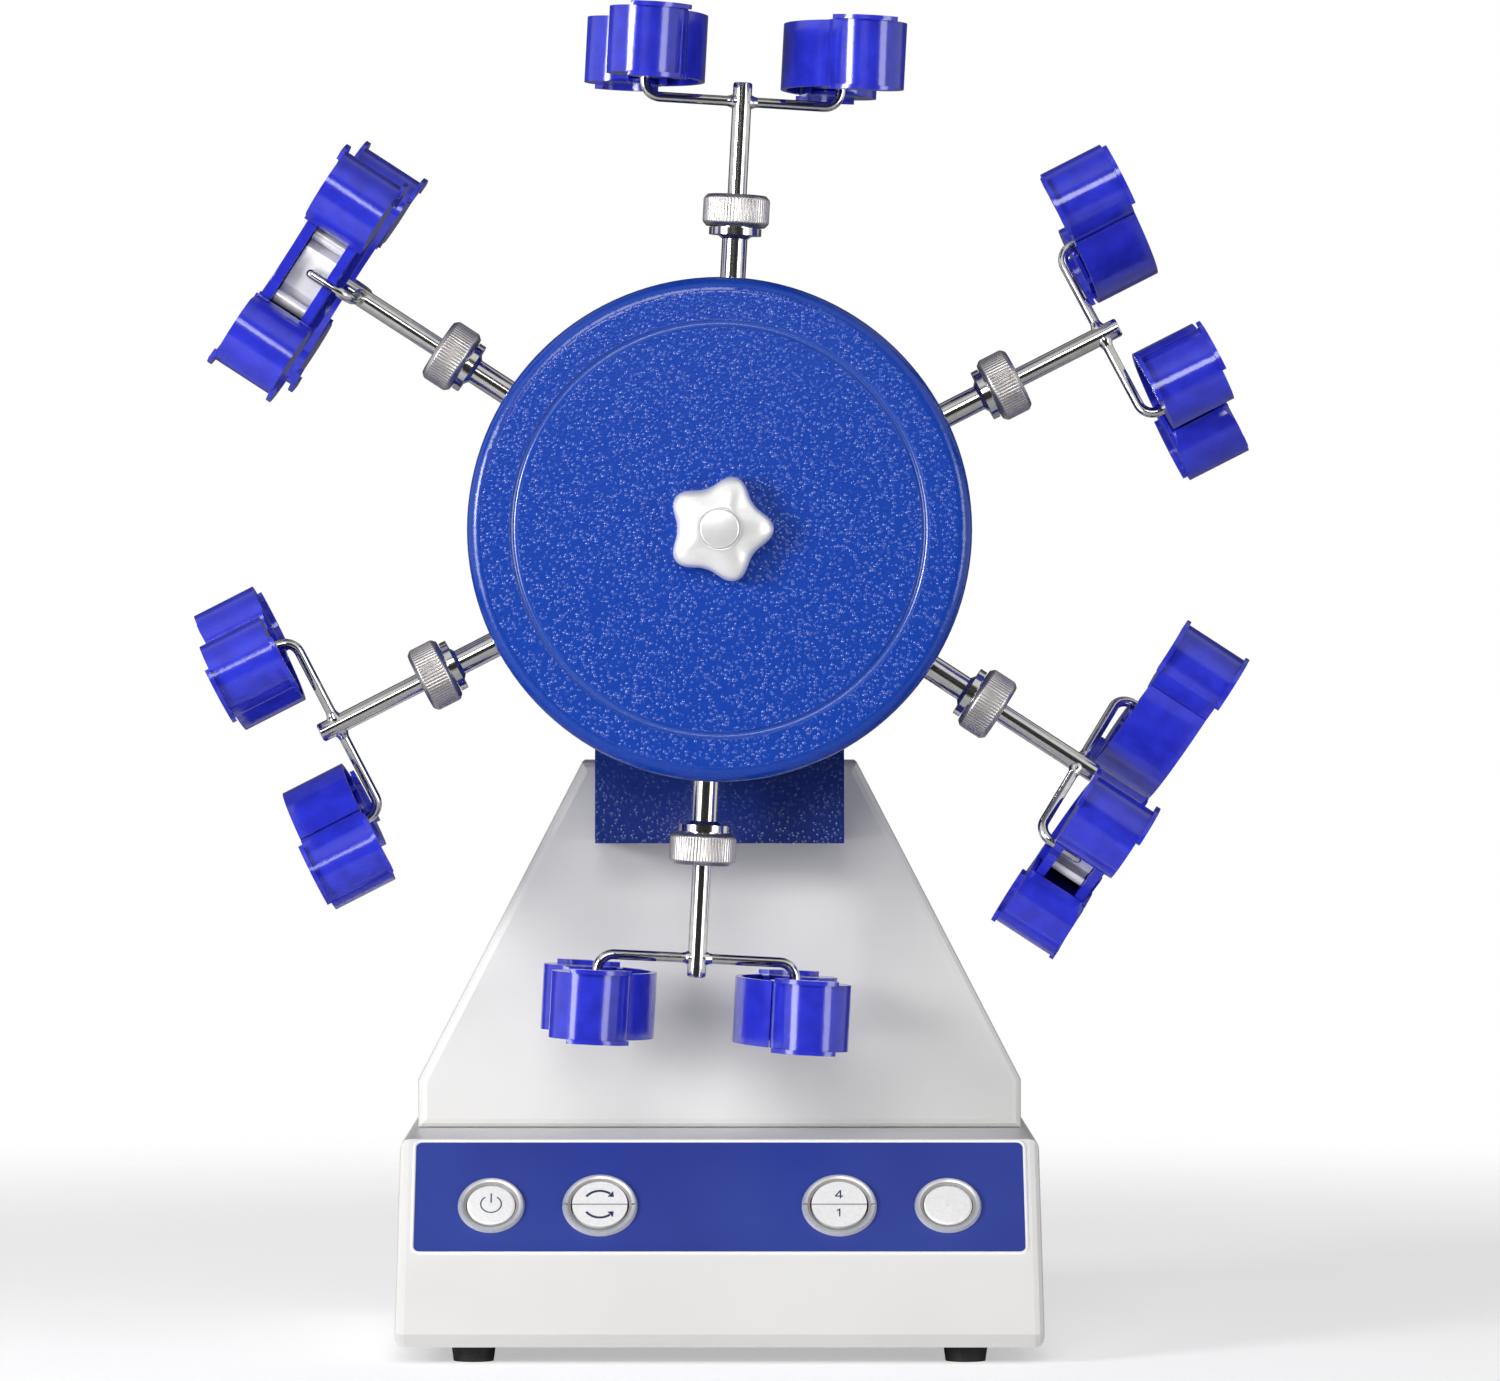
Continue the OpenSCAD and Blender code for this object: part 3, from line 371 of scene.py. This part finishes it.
FINISHES = {
    "white_shell": moulded_abs(),
    "panel_blue": print_film(),
    # the cover's coat is thrown on thick, so that its beads stand up and glint
    "drum_hammer_paint": hammered_enamel("enamel_hammered_blue", "#0a3a9e", "#1549b2", 0.2),
    # the rim's coat is thin and nearly plain
    "drum_paint": hammered_enamel("enamel_hammered_rim_blue", "#0b3898", "#0f3ea0", 0.03, 0.45),
    # the groove is smooth and bright, where the paint has run together
    "groove_paint": hammered_enamel("enamel_groove_blue", "#0f409f", "#1445a8", 0.02, 1.0),
    # a darker coat with lower beads, on the gear housing
    "navy_paint": hammered_enamel("enamel_hammered_navy", "#12286f", "#18307a", 0.12),
    "holder_blue": moulded_polypropylene(),
    # drawn and polished stainless rod: a mirror with hardly any grain
    "polished_steel": bare_metal("stainless_polished", "#c6c5c3", "#d1d0ce", 0.12, 0.5, 0.03),
    # turned and knurled steel with a dull nickel plate
    "knurled_steel": bare_metal("steel_nickelled", "#bab6b4", "#c6c2c0", 0.36, 1.6, 0.06),
    # plain turned steel: grey, with a soft shine
    "steel": bare_metal("steel_turned", "#a9a8a5", "#b8b7b4", 0.25, 1.2, 0.08),
    # die-cast zinc, blasted and sprayed silver: an even satin grey-white
    "satin_aluminium": bare_metal(
        "zinc_cast_satin_silver", "#ececec", "#f2f2f2", 0.27, 1.5, 0.1, metallic=0.5
    ),
    # metallised plastic ring: silver without the depth of solid metal
    "satin_silver": bare_metal("plated_bezel_silver", "#cbccd0", "#d6d7da", 0.36, 1.5, 0.06, metallic=0.5),
    # machined brass: a warm yellow with a soft shine
    "brass": bare_metal("brass_machined", "#b08d46", "#c09b52", 0.28, 0.9, 0.08),
    # sintered bronze, porous and oily: a dull brown with a visible grain
    "bronze": bare_metal("bronze_sintered", "#8c5f35", "#9c6c3e", 0.42, 1.5, 0.2),
    # thin hard-rolled strip, bright all over: its near-white colour, half of it dull, is a painted sheen in
    # place of the lamps' reflection
    "spring_strip": bare_metal("spring_steel_painted_sheen", "#f0efed", "#f5f4f3", 0.3, 0.3, 0.02, metallic=0.45),
    # the line round the panel: a raised line of the shell's ABS, painted whiter than the shell as a highlight
    # on its edge
    "bright_shell": moulded_plain("abs_moulded_painted_highlight", "#eeeeef", "#f3f3f4", 0.3, 1.53, 0.9, 0.03),
    # pad-printed ink: a flat dark navy
    "print_navy": moulded_plain("pad_print_navy", "#242c4c", "#2c3454", 0.4, 1.5, 0.9, 0.02),
    # painted shade: a soft dull grey for the rings inside the bezels and for the rockers' split lines
    "painted_shade_grey": moulded_plain("grey_painted_shade", "#8e8a87", "#989491", 0.5, 1.5),
    # the buttons' ABS is whiter and smoother than the shell's
    "button_white": moulded_plain("abs_button_white", "#e4e4e2", "#ececea", 0.3, 1.53, 0.9, 0.04),
    # moulded rubber: black and nearly dull
    "foot_rubber": moulded_plain("rubber_moulded_black", "#131313", "#1b1b1b", 0.62, 1.52),
    # moulded nylon: black with a low shine
    "black_plastic": moulded_plain("nylon_moulded_black", "#151516", "#1d1d1e", 0.4, 1.53),
    # textured ABS: charcoal with hardly any shine
    "dark_plate": moulded_plain("abs_moulded_charcoal", "#2c2c2e", "#353537", 0.5, 1.53),
    # glass-fibre laminate under solder resist: deep green, with the weave felt in it
    "board_green": moulded_plain("fibreglass_board_green", "#0f4a2c", "#155a37", 0.35, 1.55, 1.2, 0.15),
}

# Each CAD node wears the finish of its slot in the record
for entry in frame["record"]["subparts"]:
    node = frame["nodes"][entry["node"]]
    node.data.materials.clear()
    node.data.materials.append(FINISHES[entry["material_slot"]])

# Shapes: points in metres, already in place, with their faces


def skin_faces(rings, steps, closed=False):
    """Faces between neighbouring rings of points; the two ends get a cap each, or meet where it closes."""
    faces = []
    for ring in range(rings if closed else rings - 1):
        near, far = ring * steps, (ring + 1) % rings * steps
        for j in range(steps):
            after = (j + 1) % steps
            faces.append((near + j, near + after, far + after, far + j))
    if not closed:
        faces.append(list(range(steps)))
        faces.append(list(range((rings - 1) * steps, rings * steps)))
    return faces


def headings(line):
    """Each spot of a line with the direction in which the line runs there, by its first two numbers."""
    for k, spot in enumerate(line):
        before, after = line[max(k - 1, 0)], line[min(k + 1, len(line) - 1)]
        yield spot, (Vector(after[:2]) - Vector(before[:2])).normalized()


def even_radius(row, turn):
    """Radius of a plain turned row: the same all round."""
    return row[0]


def turned(rows, place, steps=48, ring=False, radius_at=even_radius):
    """A shape about the Z of its place, from rows that begin with radius and height; a ring has a hole."""
    points = []
    for row in rows:
        for step in range(steps):
            turn = math.tau * step / steps
            radius = radius_at(row, turn)
            points.append(place @ (Vector((radius * math.cos(turn), radius * math.sin(turn), row[1])) * MM))
    return points, skin_faces(len(rows), steps, closed=ring)


def drawn_wire(line, place):
    """A round wire along a line that lies in the XZ plane of its place; the line lists (x, z, radius)."""
    sides = 20
    points = []
    for (x, z, radius), along in headings(line):
        across = Vector((along.y, 0, -along.x))
        for side in range(sides):
            turn = math.tau * side / sides
            offset = math.cos(turn) * across + math.sin(turn) * Vector((0, 1, 0))
            points.append(place @ ((Vector((x, 0, z)) + radius * offset) * MM))
    return points, skin_faces(len(line), sides)


def flat_strip(line, half_width, thick, place):
    """A strip of sheet metal, this wide in the Z of its place, bent along a line of (x, y)."""
    points = []
    for (x, y), along in headings(line):
        inward = Vector((-along.y, along.x)) * thick
        for depth, height in ((0, -half_width), (0, half_width), (1, half_width), (1, -half_width)):
            points.append(place @ (Vector((x + depth * inward.x, y + depth * inward.y, height)) * MM))
    return points, skin_faces(len(line), 4)


def raised_band(pairs, low, high, place, closed=False, lean=0.0):
    """A thin raised band between pairs of points (inner, outer), with sides that lean in by so much."""
    points = []
    for inner, outer in pairs:
        way = (Vector(outer) - Vector(inner)).normalized() * lean
        near, far = Vector(inner) + way, Vector(outer) - way
        for (u, v), height in ((inner, low), (near, high(*near)), (far, high(*far)), (outer, low)):
            points.append(place(u, v, height))
    return points, skin_faces(len(pairs), 4, closed)


def button_band(centre, pairs, low, high, closed=False):
    """A raised band on the slope, its points counted from the middle of a button."""
    return raised_band(pairs, low, high, lambda u, v, w: on_face(centre + u, BUTTON_V + v, w), closed)


def arc_pairs(radius, width, start, end, steps):
    """Pairs of points along an arc of this line width, in degrees and millimetres."""
    pairs = []
    for step in range(steps + 1):
        turn = math.radians(start + (end - start) * step / steps)
        sides = (radius - width / 2, radius + width / 2)
        pairs.append([(side * math.cos(turn), side * math.sin(turn)) for side in sides])
    return pairs


def stroke_pairs(start, end, width):
    """Pairs of points for one straight stroke."""
    way = (Vector(end) - Vector(start)).normalized()
    across = Vector((-way.y, way.x)) * width / 2
    return [[tuple(Vector(spot) - across), tuple(Vector(spot) + across)] for spot in (start, end)]


def add_piece(name, shapes, body, finish, crease=35):
    """Joins shapes into one piece with smooth faces and sharp edges, and lets it ride on a body."""
    points, faces = [], []
    for shape_points, shape_faces in shapes:
        faces.extend([index + len(points) for index in face] for face in shape_faces)
        points.extend(shape_points)
    mesh = bpy.data.meshes.new(name)
    mesh.from_pydata(points, [], faces)
    skin = bmesh.new()
    skin.from_mesh(mesh)
    bmesh.ops.recalc_face_normals(skin, faces=skin.faces)
    skin.to_mesh(mesh)
    skin.free()
    mesh.shade_smooth()
    mesh.set_sharp_from_angle(angle=math.radians(crease))
    mesh.materials.append(finish)
    piece = bpy.data.objects.new(name, mesh)
    bpy.context.scene.collection.objects.link(piece)
    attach(piece, body)
    return piece


def soften(node_name, width):
    """Breaks a CAD node's sharp edges with a small round, as its mould leaves them."""
    node = frame["nodes"][node_name]
    weld = node.modifiers.new("weld", "WELD")
    weld.merge_threshold = 0.01 * MM
    bevel = node.modifiers.new("edge_break", "BEVEL")
    bevel.width = width * MM
    bevel.segments = 2
    bevel.limit_method = "ANGLE"
    bevel.angle_limit = math.radians(32)
    bevel.use_clamp_overlap = True
    bevel.miter_outer = "MITER_ARC"
    even = node.modifiers.new("even_shading", "WEIGHTED_NORMAL")
    even.weight = 90


# Pieces


def knob_radius(row, turn):
    """Radius of a row of the knob at an angle: round lobes, the first to the right, blended with a circle."""
    size, _, round_share, round_radius = row
    swell = ((1 + math.cos(KNOB_LOBES * turn)) / 2) ** 1.2
    lobes = KNOB_R * (KNOB_WAIST + (1 - KNOB_WAIST) * swell)
    return (1 - round_share) * size * lobes + round_share * round_radius


def make_knob():
    """Die-cast star knob: lobes that roll over into a dished crown with a flat disc let into it."""
    # size of the lobed outline, height above the knob's foot, share of a circle in it, radius of that circle
    rows = (
        (0.97, 0.0, 0.0, 0), (1.0, 0.7, 0.0, 0), (1.0, 6.6, 0.0, 0), (0.988, 7.8, 0.0, 0),
        (0.955, 8.8, 0.0, 0), (0.9, 9.6, 0.0, 0), (0.82, 10.2, 0.05, 11), (0.72, 10.7, 0.15, 10),
        (0.6, 11.2, 0.4, 9), (0.5, 11.6, 0.75, 7.6), (0.4, 11.8, 1.0, 6.6), (0.4, 11.75, 1.0, 6.35),
        (0.4, 11.4, 1.0, 6.25), (0.4, 11.4, 1.0, 6.12), (0.4, 12.75, 1.0, 6.05), (0.4, 12.95, 1.0, 5.85),
        (0.4, 13.0, 1.0, 5.6),
    )
    cast = turned(rows, drum_frame(DRUM_FRONT_Y - KNOB_GAP), 150, radius_at=knob_radius)
    knob = add_piece("star_knob_cast", [cast], "knob", FINISHES["satin_aluminium"], 40)
    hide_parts("star_knob")


def make_cover():
    """Round cover of the drum: a hammered plate with one fine groove, smooth inside, near its edge."""
    face = -DRUM_FRONT_Y
    back = face - COVER_DEPTH
    inner = [(COVER_HOLE_R, back), (COVER_HOLE_R, face), (GROOVE_IN_R, face), (GROOVE_IN_R, back)]
    # the outer edge rolls off over the last 0.4 mm; the ring before that keeps the face flat
    outer = [
        (GROOVE_OUT_R, back), (GROOVE_OUT_R, face), (COVER_R - 0.78, face), (COVER_R - 0.38, face),
        (COVER_R, face - COVER_EDGE_FALL), (COVER_R, back),
    ]
    lip = face - GROOVE_LIP_FALL
    groove = [(GROOVE_IN_R, back), (GROOVE_IN_R, lip)]
    for step in range(1, 16):
        part = step / 16
        depth = GROOVE_DEPTH * math.sin(math.pi * part) ** 1.1
        groove.append((GROOVE_IN_R + (GROOVE_OUT_R - GROOVE_IN_R) * part, lip - depth))
    groove += [(GROOVE_OUT_R, lip), (GROOVE_OUT_R, back)]
    axis = drum_frame(0)
    plates = [turned(profile, axis, 180, ring=True) for profile in (inner, outer)]
    cover = add_piece("drum_cover_plate", plates, "drum", FINISHES["drum_hammer_paint"], 50)
    channel = turned(groove, axis, 180, ring=True)
    line = add_piece("drum_cover_groove", [channel], "drum", FINISHES["groove_paint"], 50)
    for piece in (cover, line):
        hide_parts("drum_cover")


def wire_line():
    """The bent cross wire as (x, z, radius), from one rounded end to the other."""
    end = HOLDER_AT - WIRE_SHORT
    centre_x, centre_z = WIRE_SPAN - WIRE_BEND_R, WIRE_AT + WIRE_BEND_R
    # a ring of points shortly before the bend keeps the long stretch straight
    half = [(0, WIRE_AT, WIRE_R), (centre_x - 3, WIRE_AT, WIRE_R)]
    for step in range(9):
        turn = math.radians(270 + step * 90 / 8)
        x, z = centre_x + WIRE_BEND_R * math.cos(turn), centre_z + WIRE_BEND_R * math.sin(turn)
        half.append((x, z, WIRE_R))
    half.append((WIRE_SPAN, end, WIRE_R))
    # the end closes in a half ball
    for turn in (0.5, 0.95, 1.3, 1.5):
        half.append((WIRE_SPAN, end + WIRE_R * math.sin(turn), WIRE_R * math.cos(turn)))
    return [(-x, z, radius) for x, z, radius in reversed(half[1:])] + half


def spring_line():
    """The leaf spring as (x, y), seen along the arm: a crown, a step down on each side, two end curls."""
    crown_x, crown_bow, crown_end = -1.85, 0.012, 6
    half = [(crown_x - crown_bow * y * y, y) for y in range(crown_end + 1)]
    step_x, step_down, step_length = -2.28, 2.55, 4.9
    for step in range(1, 9):
        part = step / 9
        half.append((step_x - step_down * part * part * (3 - 2 * part), crown_end + step_length * part))
    curl_x, curl_y, curl_r, curl_turn = -2.9, 11.4, 1.95, 234
    for step in range(19):
        turn = math.radians(curl_turn * step / 18)
        half.append((curl_x - curl_r * math.cos(turn), curl_y + curl_r * math.sin(turn)))
    return [(x, -y) for x, y in reversed(half[1:])] + half


def make_arm(number):
    """Polished rod, the bent wire through it, its two weld beads, and the wavy springs in the channels."""
    along = arm_frame(number)
    turned_arm = along @ Matrix.Rotation(math.radians(ARM_TURNS[number - 1]), 4, "Z")
    inner_chamfer, outer_chamfer = 0.4, 0.45
    rod = (
        (ROD_R - inner_chamfer, ROD_FROM), (ROD_R, ROD_FROM + inner_chamfer),
        (ROD_R, ROD_TO - outer_chamfer), (ROD_R - outer_chamfer, ROD_TO),
    )
    shapes = [turned(rod, along), drawn_wire(wire_line(), turned_arm)]
    # radius of a weld bead round the wire, and distance from the rod's axis
    bead = ((2.5, 1.7), (2.42, 2.6), (2.15, 3.2), (1.85, 3.8), (1.64, 4.7))
    for way in (1, -1):
        lean = Matrix.Translation(Vector((0, 0, WIRE_AT)) * MM) @ Matrix.Rotation(way * math.pi / 2, 4, "Y")
        shapes.append(turned(bead, turned_arm @ lean, 24))
    arm = add_piece(f"arm_{number}_rod_and_wire", shapes, f"arm_{number}", FINISHES["polished_steel"])
    holders = [holder_frame(number, side) for side in (1, -1)]
    strips = [flat_strip(spring_line(), SPRING_HALF_WIDTH, SPRING_THICK, holder) for holder in holders]
    springs = add_piece(f"arm_{number}_springs", strips, f"arm_{number}", FINISHES["spring_strip"], 50)
    # a thin black sheet on each channel's floor, under the spring
    sheet_line = [(CHANNEL_SHEET_X, -CHANNEL_SHEET_HALF_LENGTH), (CHANNEL_SHEET_X, CHANNEL_SHEET_HALF_LENGTH)]
    plates = [flat_strip(sheet_line, CHANNEL_SHEET_HALF_WIDTH, CHANNEL_SHEET_THICK, holder) for holder in holders]
    black_sheets = add_piece(f"arm_{number}_channel_black_sheets", plates, f"arm_{number}", FINISHES["black_plastic"])
    for piece in (arm, springs):
        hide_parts(f"arm_{number}")


def knurl_radius(row, turn):
    """Radius of a row of the nut at an angle: straight ridges, as deep as the row says."""
    radius, _, depth = row
    return radius - depth * (1 - math.cos(NUT_RIDGES * turn)) / 2


def make_nut(number):
    """Collet nut, turned with a chamfer at each end and a fine straight knurl between them."""
    # radius, distance from the nut's end and depth of the knurl, from the flat end over the chamfer
    edge = ((8.9, 0, 0), (9.2, 0.05, 0), (10.1, 1.0, 0), (10.3, 1.35, 0), (10.4, 1.6, KNURL_DEPTH))
    rows = [(NUT_BORE_R, NUT_FLOOR_AT, 0), (NUT_BORE_R, NUT_FROM, 0)]
    rows += [(radius, NUT_FROM + inset, depth) for radius, inset, depth in edge]
    rows += [(radius, NUT_TO - inset, depth) for radius, inset, depth in reversed(edge)]
    rows += [(NUT_HOLE_R, NUT_TO, 0), (NUT_HOLE_R, NUT_FLOOR_AT, 0)]
    # six points to a ridge
    collar = turned(rows, arm_frame(number), 6 * NUT_RIDGES, ring=True, radius_at=knurl_radius)
    nut = add_piece(f"nut_{number}_turned", [collar], f"nut_{number}", FINISHES["knurled_steel"], 42)
    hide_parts(f"knurled_nut_{number}")


def make_marks():
    """Printed marks on the buttons: the power ring, the two arrows and the plain figures 4 and 1."""
    def on_push(u, v):
        return PUSH_PRINT - PUSH_FALL * math.hypot(u, v) / PUSH_FALL_R

    def on_rocker(u, v):
        return ROCKER_PRINT

    # a ring that is open at its top, with a stroke through the gap
    power = [arc_pairs(3.2, PRINT_WIDTH, 124, 416, 40), stroke_pairs((0, 0.4), (0, 4.1), PRINT_WIDTH)]
    arrows = []
    for way in (1, -1):
        arrows.append([[(u, v * way) for u, v in pair] for pair in arc_pairs(5.1, ARROW_WIDTH, 145, 52, 20)])
        # the head narrows from its back to its tip
        arrows.append([[(2.35, 2.9 * way), (4.1, 5.0 * way)], [(4.25, 2.75 * way), (4.35, 2.85 * way)]])
    # strokes of the 4 above the joint and of the 1 below it
    figures = [
        stroke_pairs((0.35, 5.2), (-1.15, 3.15), PRINT_WIDTH),
        stroke_pairs((-1.3, 3.1), (1.2, 3.1), PRINT_WIDTH),
        stroke_pairs((0.4, 5.35), (0.4, 2.2), FIGURE_WIDTH),
        stroke_pairs((0.1, -1.7), (0.1, -4.7), FIGURE_WIDTH),
        stroke_pairs((0.1, -1.85), (-0.75, -2.5), PRINT_WIDTH),
    ]
    for name, body, centre, lines, height in (
        ("on_off_mark", "on_off", -OUTER_BUTTON_X, power, on_push),
        ("direction_marks", "direction", -INNER_BUTTON_X, arrows, on_rocker),
        ("speed_figures", "speed", INNER_BUTTON_X, figures, on_rocker),
    ):
        shapes = [button_band(centre, pairs, PRINT_FOOT, height) for pairs in lines]
        mark = add_piece(name, shapes, body, FINISHES["print_navy"])


def make_painted_button_shade():
    """Painted shade: grey rings inside the bezels, and a painted shadow of the split across each rocker and
    its bezel.
    """
    def level(height):
        return lambda u, v: height

    def on_bezel(radius):
        return lambda u, v: SHADE_RING_HEIGHT + BEZEL_RISE * (math.hypot(u, v) - radius)

    # a grey ring inside each bezel paints the shade between the button and its bezel
    shade_bands = []
    for centre, radius in (
        (-OUTER_BUTTON_X, OUTER_FACE_R), (OUTER_BUTTON_X, OUTER_FACE_R),
        (-INNER_BUTTON_X, INNER_FACE_R), (INNER_BUTTON_X, INNER_FACE_R),
    ):
        # one pair at every 4 degrees, closed to a ring
        pairs = arc_pairs(radius + SHADE_RING_INSET, SHADE_RING_WIDTH, 0, 356, 89)
        shade_bands.append(button_band(centre, pairs, SHADE_FOOT, on_bezel(radius), closed=True))
    # painted shadow of each rocker's split, where it runs on over the bezel
    for centre in (-INNER_BUTTON_X, INNER_BUTTON_X):
        for way in (1, -1):
            start, end = way * (INNER_FACE_R + BEZEL_JOINT_FROM), way * (INNER_FACE_R + BEZEL_JOINT_TO)
            across = stroke_pairs((start, 0), (end, 0), JOINT_WIDTH)
            shade_bands.append(button_band(centre, across, SHADE_FOOT, level(BEZEL_JOINT_HEIGHT)))
    shade_rings = add_piece("bezel_painted_shade_rings", shade_bands, "stand", FINISHES["painted_shade_grey"], 30)
    # painted shadow of the split across each rocker
    reach = INNER_FACE_R - ROCKER_JOINT_INSET
    for name, centre in (("direction", -INNER_BUTTON_X), ("speed", INNER_BUTTON_X)):
        across = stroke_pairs((-reach, 0), (reach, 0), JOINT_WIDTH)
        joint = button_band(centre, across, SHADE_FOOT, level(ROCKER_JOINT_HEIGHT))
        line = add_piece(f"{name}_split_painted_shadow", [joint], name, FINISHES["painted_shade_grey"], 30)


def make_panel_frame():
    """The moulded line of the shell that stands round the panel, with round corners, in a whiter tone that
    paints the highlight on its edge.
    """
    side = PANEL_WIDTH / 2 - PANEL_CORNER_R
    top, bottom = PANEL_HIGH_V - PANEL_CORNER_R, PANEL_LOW_V + PANEL_CORNER_R
    corners = ((side, top, 0), (-side, top, 90), (-side, bottom, 180), (side, bottom, 270))
    pairs = []
    for centre_u, centre_v, start in corners:
        for step in range(9):
            turn = math.radians(start + step * 90 / 8)
            pairs.append([
                (centre_u + radius * math.cos(turn), centre_v + radius * math.sin(turn))
                for radius in (LINE_IN_R, LINE_OUT_R)
            ])
    shape = raised_band(pairs, LINE_FOOT, lambda u, v: LINE_HEIGHT, on_face, closed=True, lean=LINE_LEAN)
    line = add_piece("panel_frame_line", [shape], "stand", FINISHES["bright_shell"], 60)


for arm_number in range(1, 7):
    # the mould leaves small rounds on a holder's edges
    for holder_part in (f"holder_frames_{arm_number}", f"jaw_{arm_number}_a", f"jaw_{arm_number}_b"):
        soften(holder_part, HOLDER_ROUND)
make_knob()
make_cover()
for arm_number in range(1, 7):
    make_arm(arm_number)
    make_nut(arm_number)
make_marks()
make_painted_button_shade()
make_panel_frame()

# Studio


def studio_camera():
    """The view from straight in front, a little below the drum's axis."""
    data = bpy.data.cameras.new("studio_camera")
    data.lens = CAMERA_LENS
    data.sensor_width = 36
    data.shift_x = CAMERA_SHIFT_X
    data.shift_y = CAMERA_SHIFT_Y
    data.clip_start = 0.05
    data.clip_end = 50
    camera = bpy.data.objects.new("studio_camera", data)
    camera.location = CAMERA_PLACE
    camera.rotation_euler = (math.pi / 2, 0, 0)
    bpy.context.scene.collection.objects.link(camera)
    bpy.context.scene.camera = camera


def soft_lamp(name, place, aim, size, power):
    """A soft box of this width and height that faces a point."""
    data = bpy.data.lights.new(name, "AREA")
    data.shape = "RECTANGLE"
    data.size, data.size_y = size
    data.energy = power
    lamp = bpy.data.objects.new(name, data)
    lamp.location = place
    lamp.rotation_euler = (Vector(aim) - Vector(place)).to_track_quat("-Z", "Y").to_euler()
    bpy.context.scene.collection.objects.link(lamp)


def strip_lamp(name, azimuth, power):
    """A tall strip box beside the camera, turned this many degrees from it about the drum's axis."""
    turn = math.radians(azimuth)
    place = (STRIP_DISTANCE * math.sin(turn), -STRIP_DISTANCE * math.cos(turn), STRIP_Z)
    soft_lamp(name, place, STRIP_AIM, STRIP_SIZE, power)


def studio_world():
    """White room: even light, and the bright walls and dark gaps that only polished pieces show."""
    world = bpy.data.worlds.new("studio_world")
    bpy.context.scene.world = world
    world.use_nodes = True
    tree = world.node_tree
    tree.nodes.clear()
    look = add_node(tree, "LightPath").outputs
    way = add_node(tree, "TexCoord").outputs["Generated"]
    parts = add_node(tree, "SeparateXYZ", {"Vector": way})
    depth = add_node(tree, "MapRange", {"Value": parts.outputs["Y"], "From Min": -1.0, "From Max": 1.0})
    greys = [(place, (level, level, level, 1.0)) for place, level in WALL_LEVELS]
    walls = add_node(tree, "ValToRGB", {"Fac": depth.outputs["Result"]}, stops=greys)
    # the ceiling is dim, so that it doesn't wash out the sloping panel
    ceiling = add_node(tree, "MapRange", {
        "Value": parts.outputs["Z"], "From Min": CEILING_FROM, "From Max": CEILING_TO,
        "To Min": 1.0, "To Max": CEILING_LEVEL,
    })
    dimmed = add_node(tree, "Math", {0: ceiling.outputs["Result"], 1: ROOM_LEVEL}, operation="MULTIPLY")
    room = add_node(tree, "Background", {"Color": WHITE, "Strength": dimmed.outputs["Value"]})
    shine = add_node(tree, "Background", {
        "Color": walls.outputs["Color"], "Strength": ceiling.outputs["Result"],
    })
    backdrop = add_node(tree, "Background", {"Color": WHITE, "Strength": 1.0})
    lit = add_node(tree, "MixShader", {
        0: look["Is Glossy Ray"], 1: room.outputs["Background"], 2: shine.outputs["Background"],
    })
    seen = add_node(
        tree, "Math", {0: look["Is Camera Ray"], 1: look["Is Transmission Ray"]}, operation="MAXIMUM"
    )
    final = add_node(tree, "MixShader", {
        0: seen.outputs["Value"], 1: lit.outputs["Shader"], 2: backdrop.outputs["Background"],
    })
    add_node(tree, "OutputWorld", {"Surface": final.outputs["Shader"]})


def studio_floor():
    """Round pale floor that fades into the white room away from the winder."""
    mesh = bpy.data.meshes.new("studio_floor")
    turns = [math.tau * side / FLOOR_SIDES for side in range(FLOOR_SIDES)]
    edge = [(FLOOR_R * math.cos(turn), FLOOR_R * math.sin(turn), 0) for turn in turns]
    mesh.from_pydata(edge, [], [list(range(FLOOR_SIDES))])
    floor = bpy.data.objects.new("studio_floor", mesh)
    bpy.context.scene.collection.objects.link(floor)
    finish, tree, shader, place = new_finish("paper_floor_white")
    far = add_node(tree, "VectorMath", {0: place}, operation="LENGTH")
    fade = {"From Min": FLOOR_FADE_FROM, "From Max": FLOOR_FADE_TO, "To Min": 1.0, "To Max": 0.0}
    cover = add_node(
        tree, "MapRange", {"Value": far.outputs["Value"], **fade}, interpolation_type="SMOOTHSTEP"
    )
    look = add_node(tree, "LightPath").outputs
    glow = add_node(tree, "Math", {0: look["Is Camera Ray"], 1: FLOOR_GLOW}, operation="MULTIPLY")
    fill(shader, {
        "Base Color": linear("#e9e9e9"), "Roughness": 0.9, "Alpha": cover.outputs["Result"],
        "Emission Color": WHITE, "Emission Strength": glow.outputs["Value"],
    })
    mesh.materials.append(finish)


studio_camera()
studio_world()
studio_floor()
strip_lamp("strip_left", -STRIP_ANGLE, STRIP_LEFT_POWER)
strip_lamp("strip_right", STRIP_ANGLE, STRIP_RIGHT_POWER)
# small and bright, so that the hammered paint and the polish glint
soft_lamp("key", KEY_PLACE, KEY_AIM, KEY_SIZE, KEY_POWER)
# wide, in front and above, so that the front faces are lit evenly
soft_lamp("front_bar", BAR_PLACE, BAR_AIM, BAR_SIZE, BAR_POWER)

bpy.context.scene.view_settings.view_transform = "Standard"
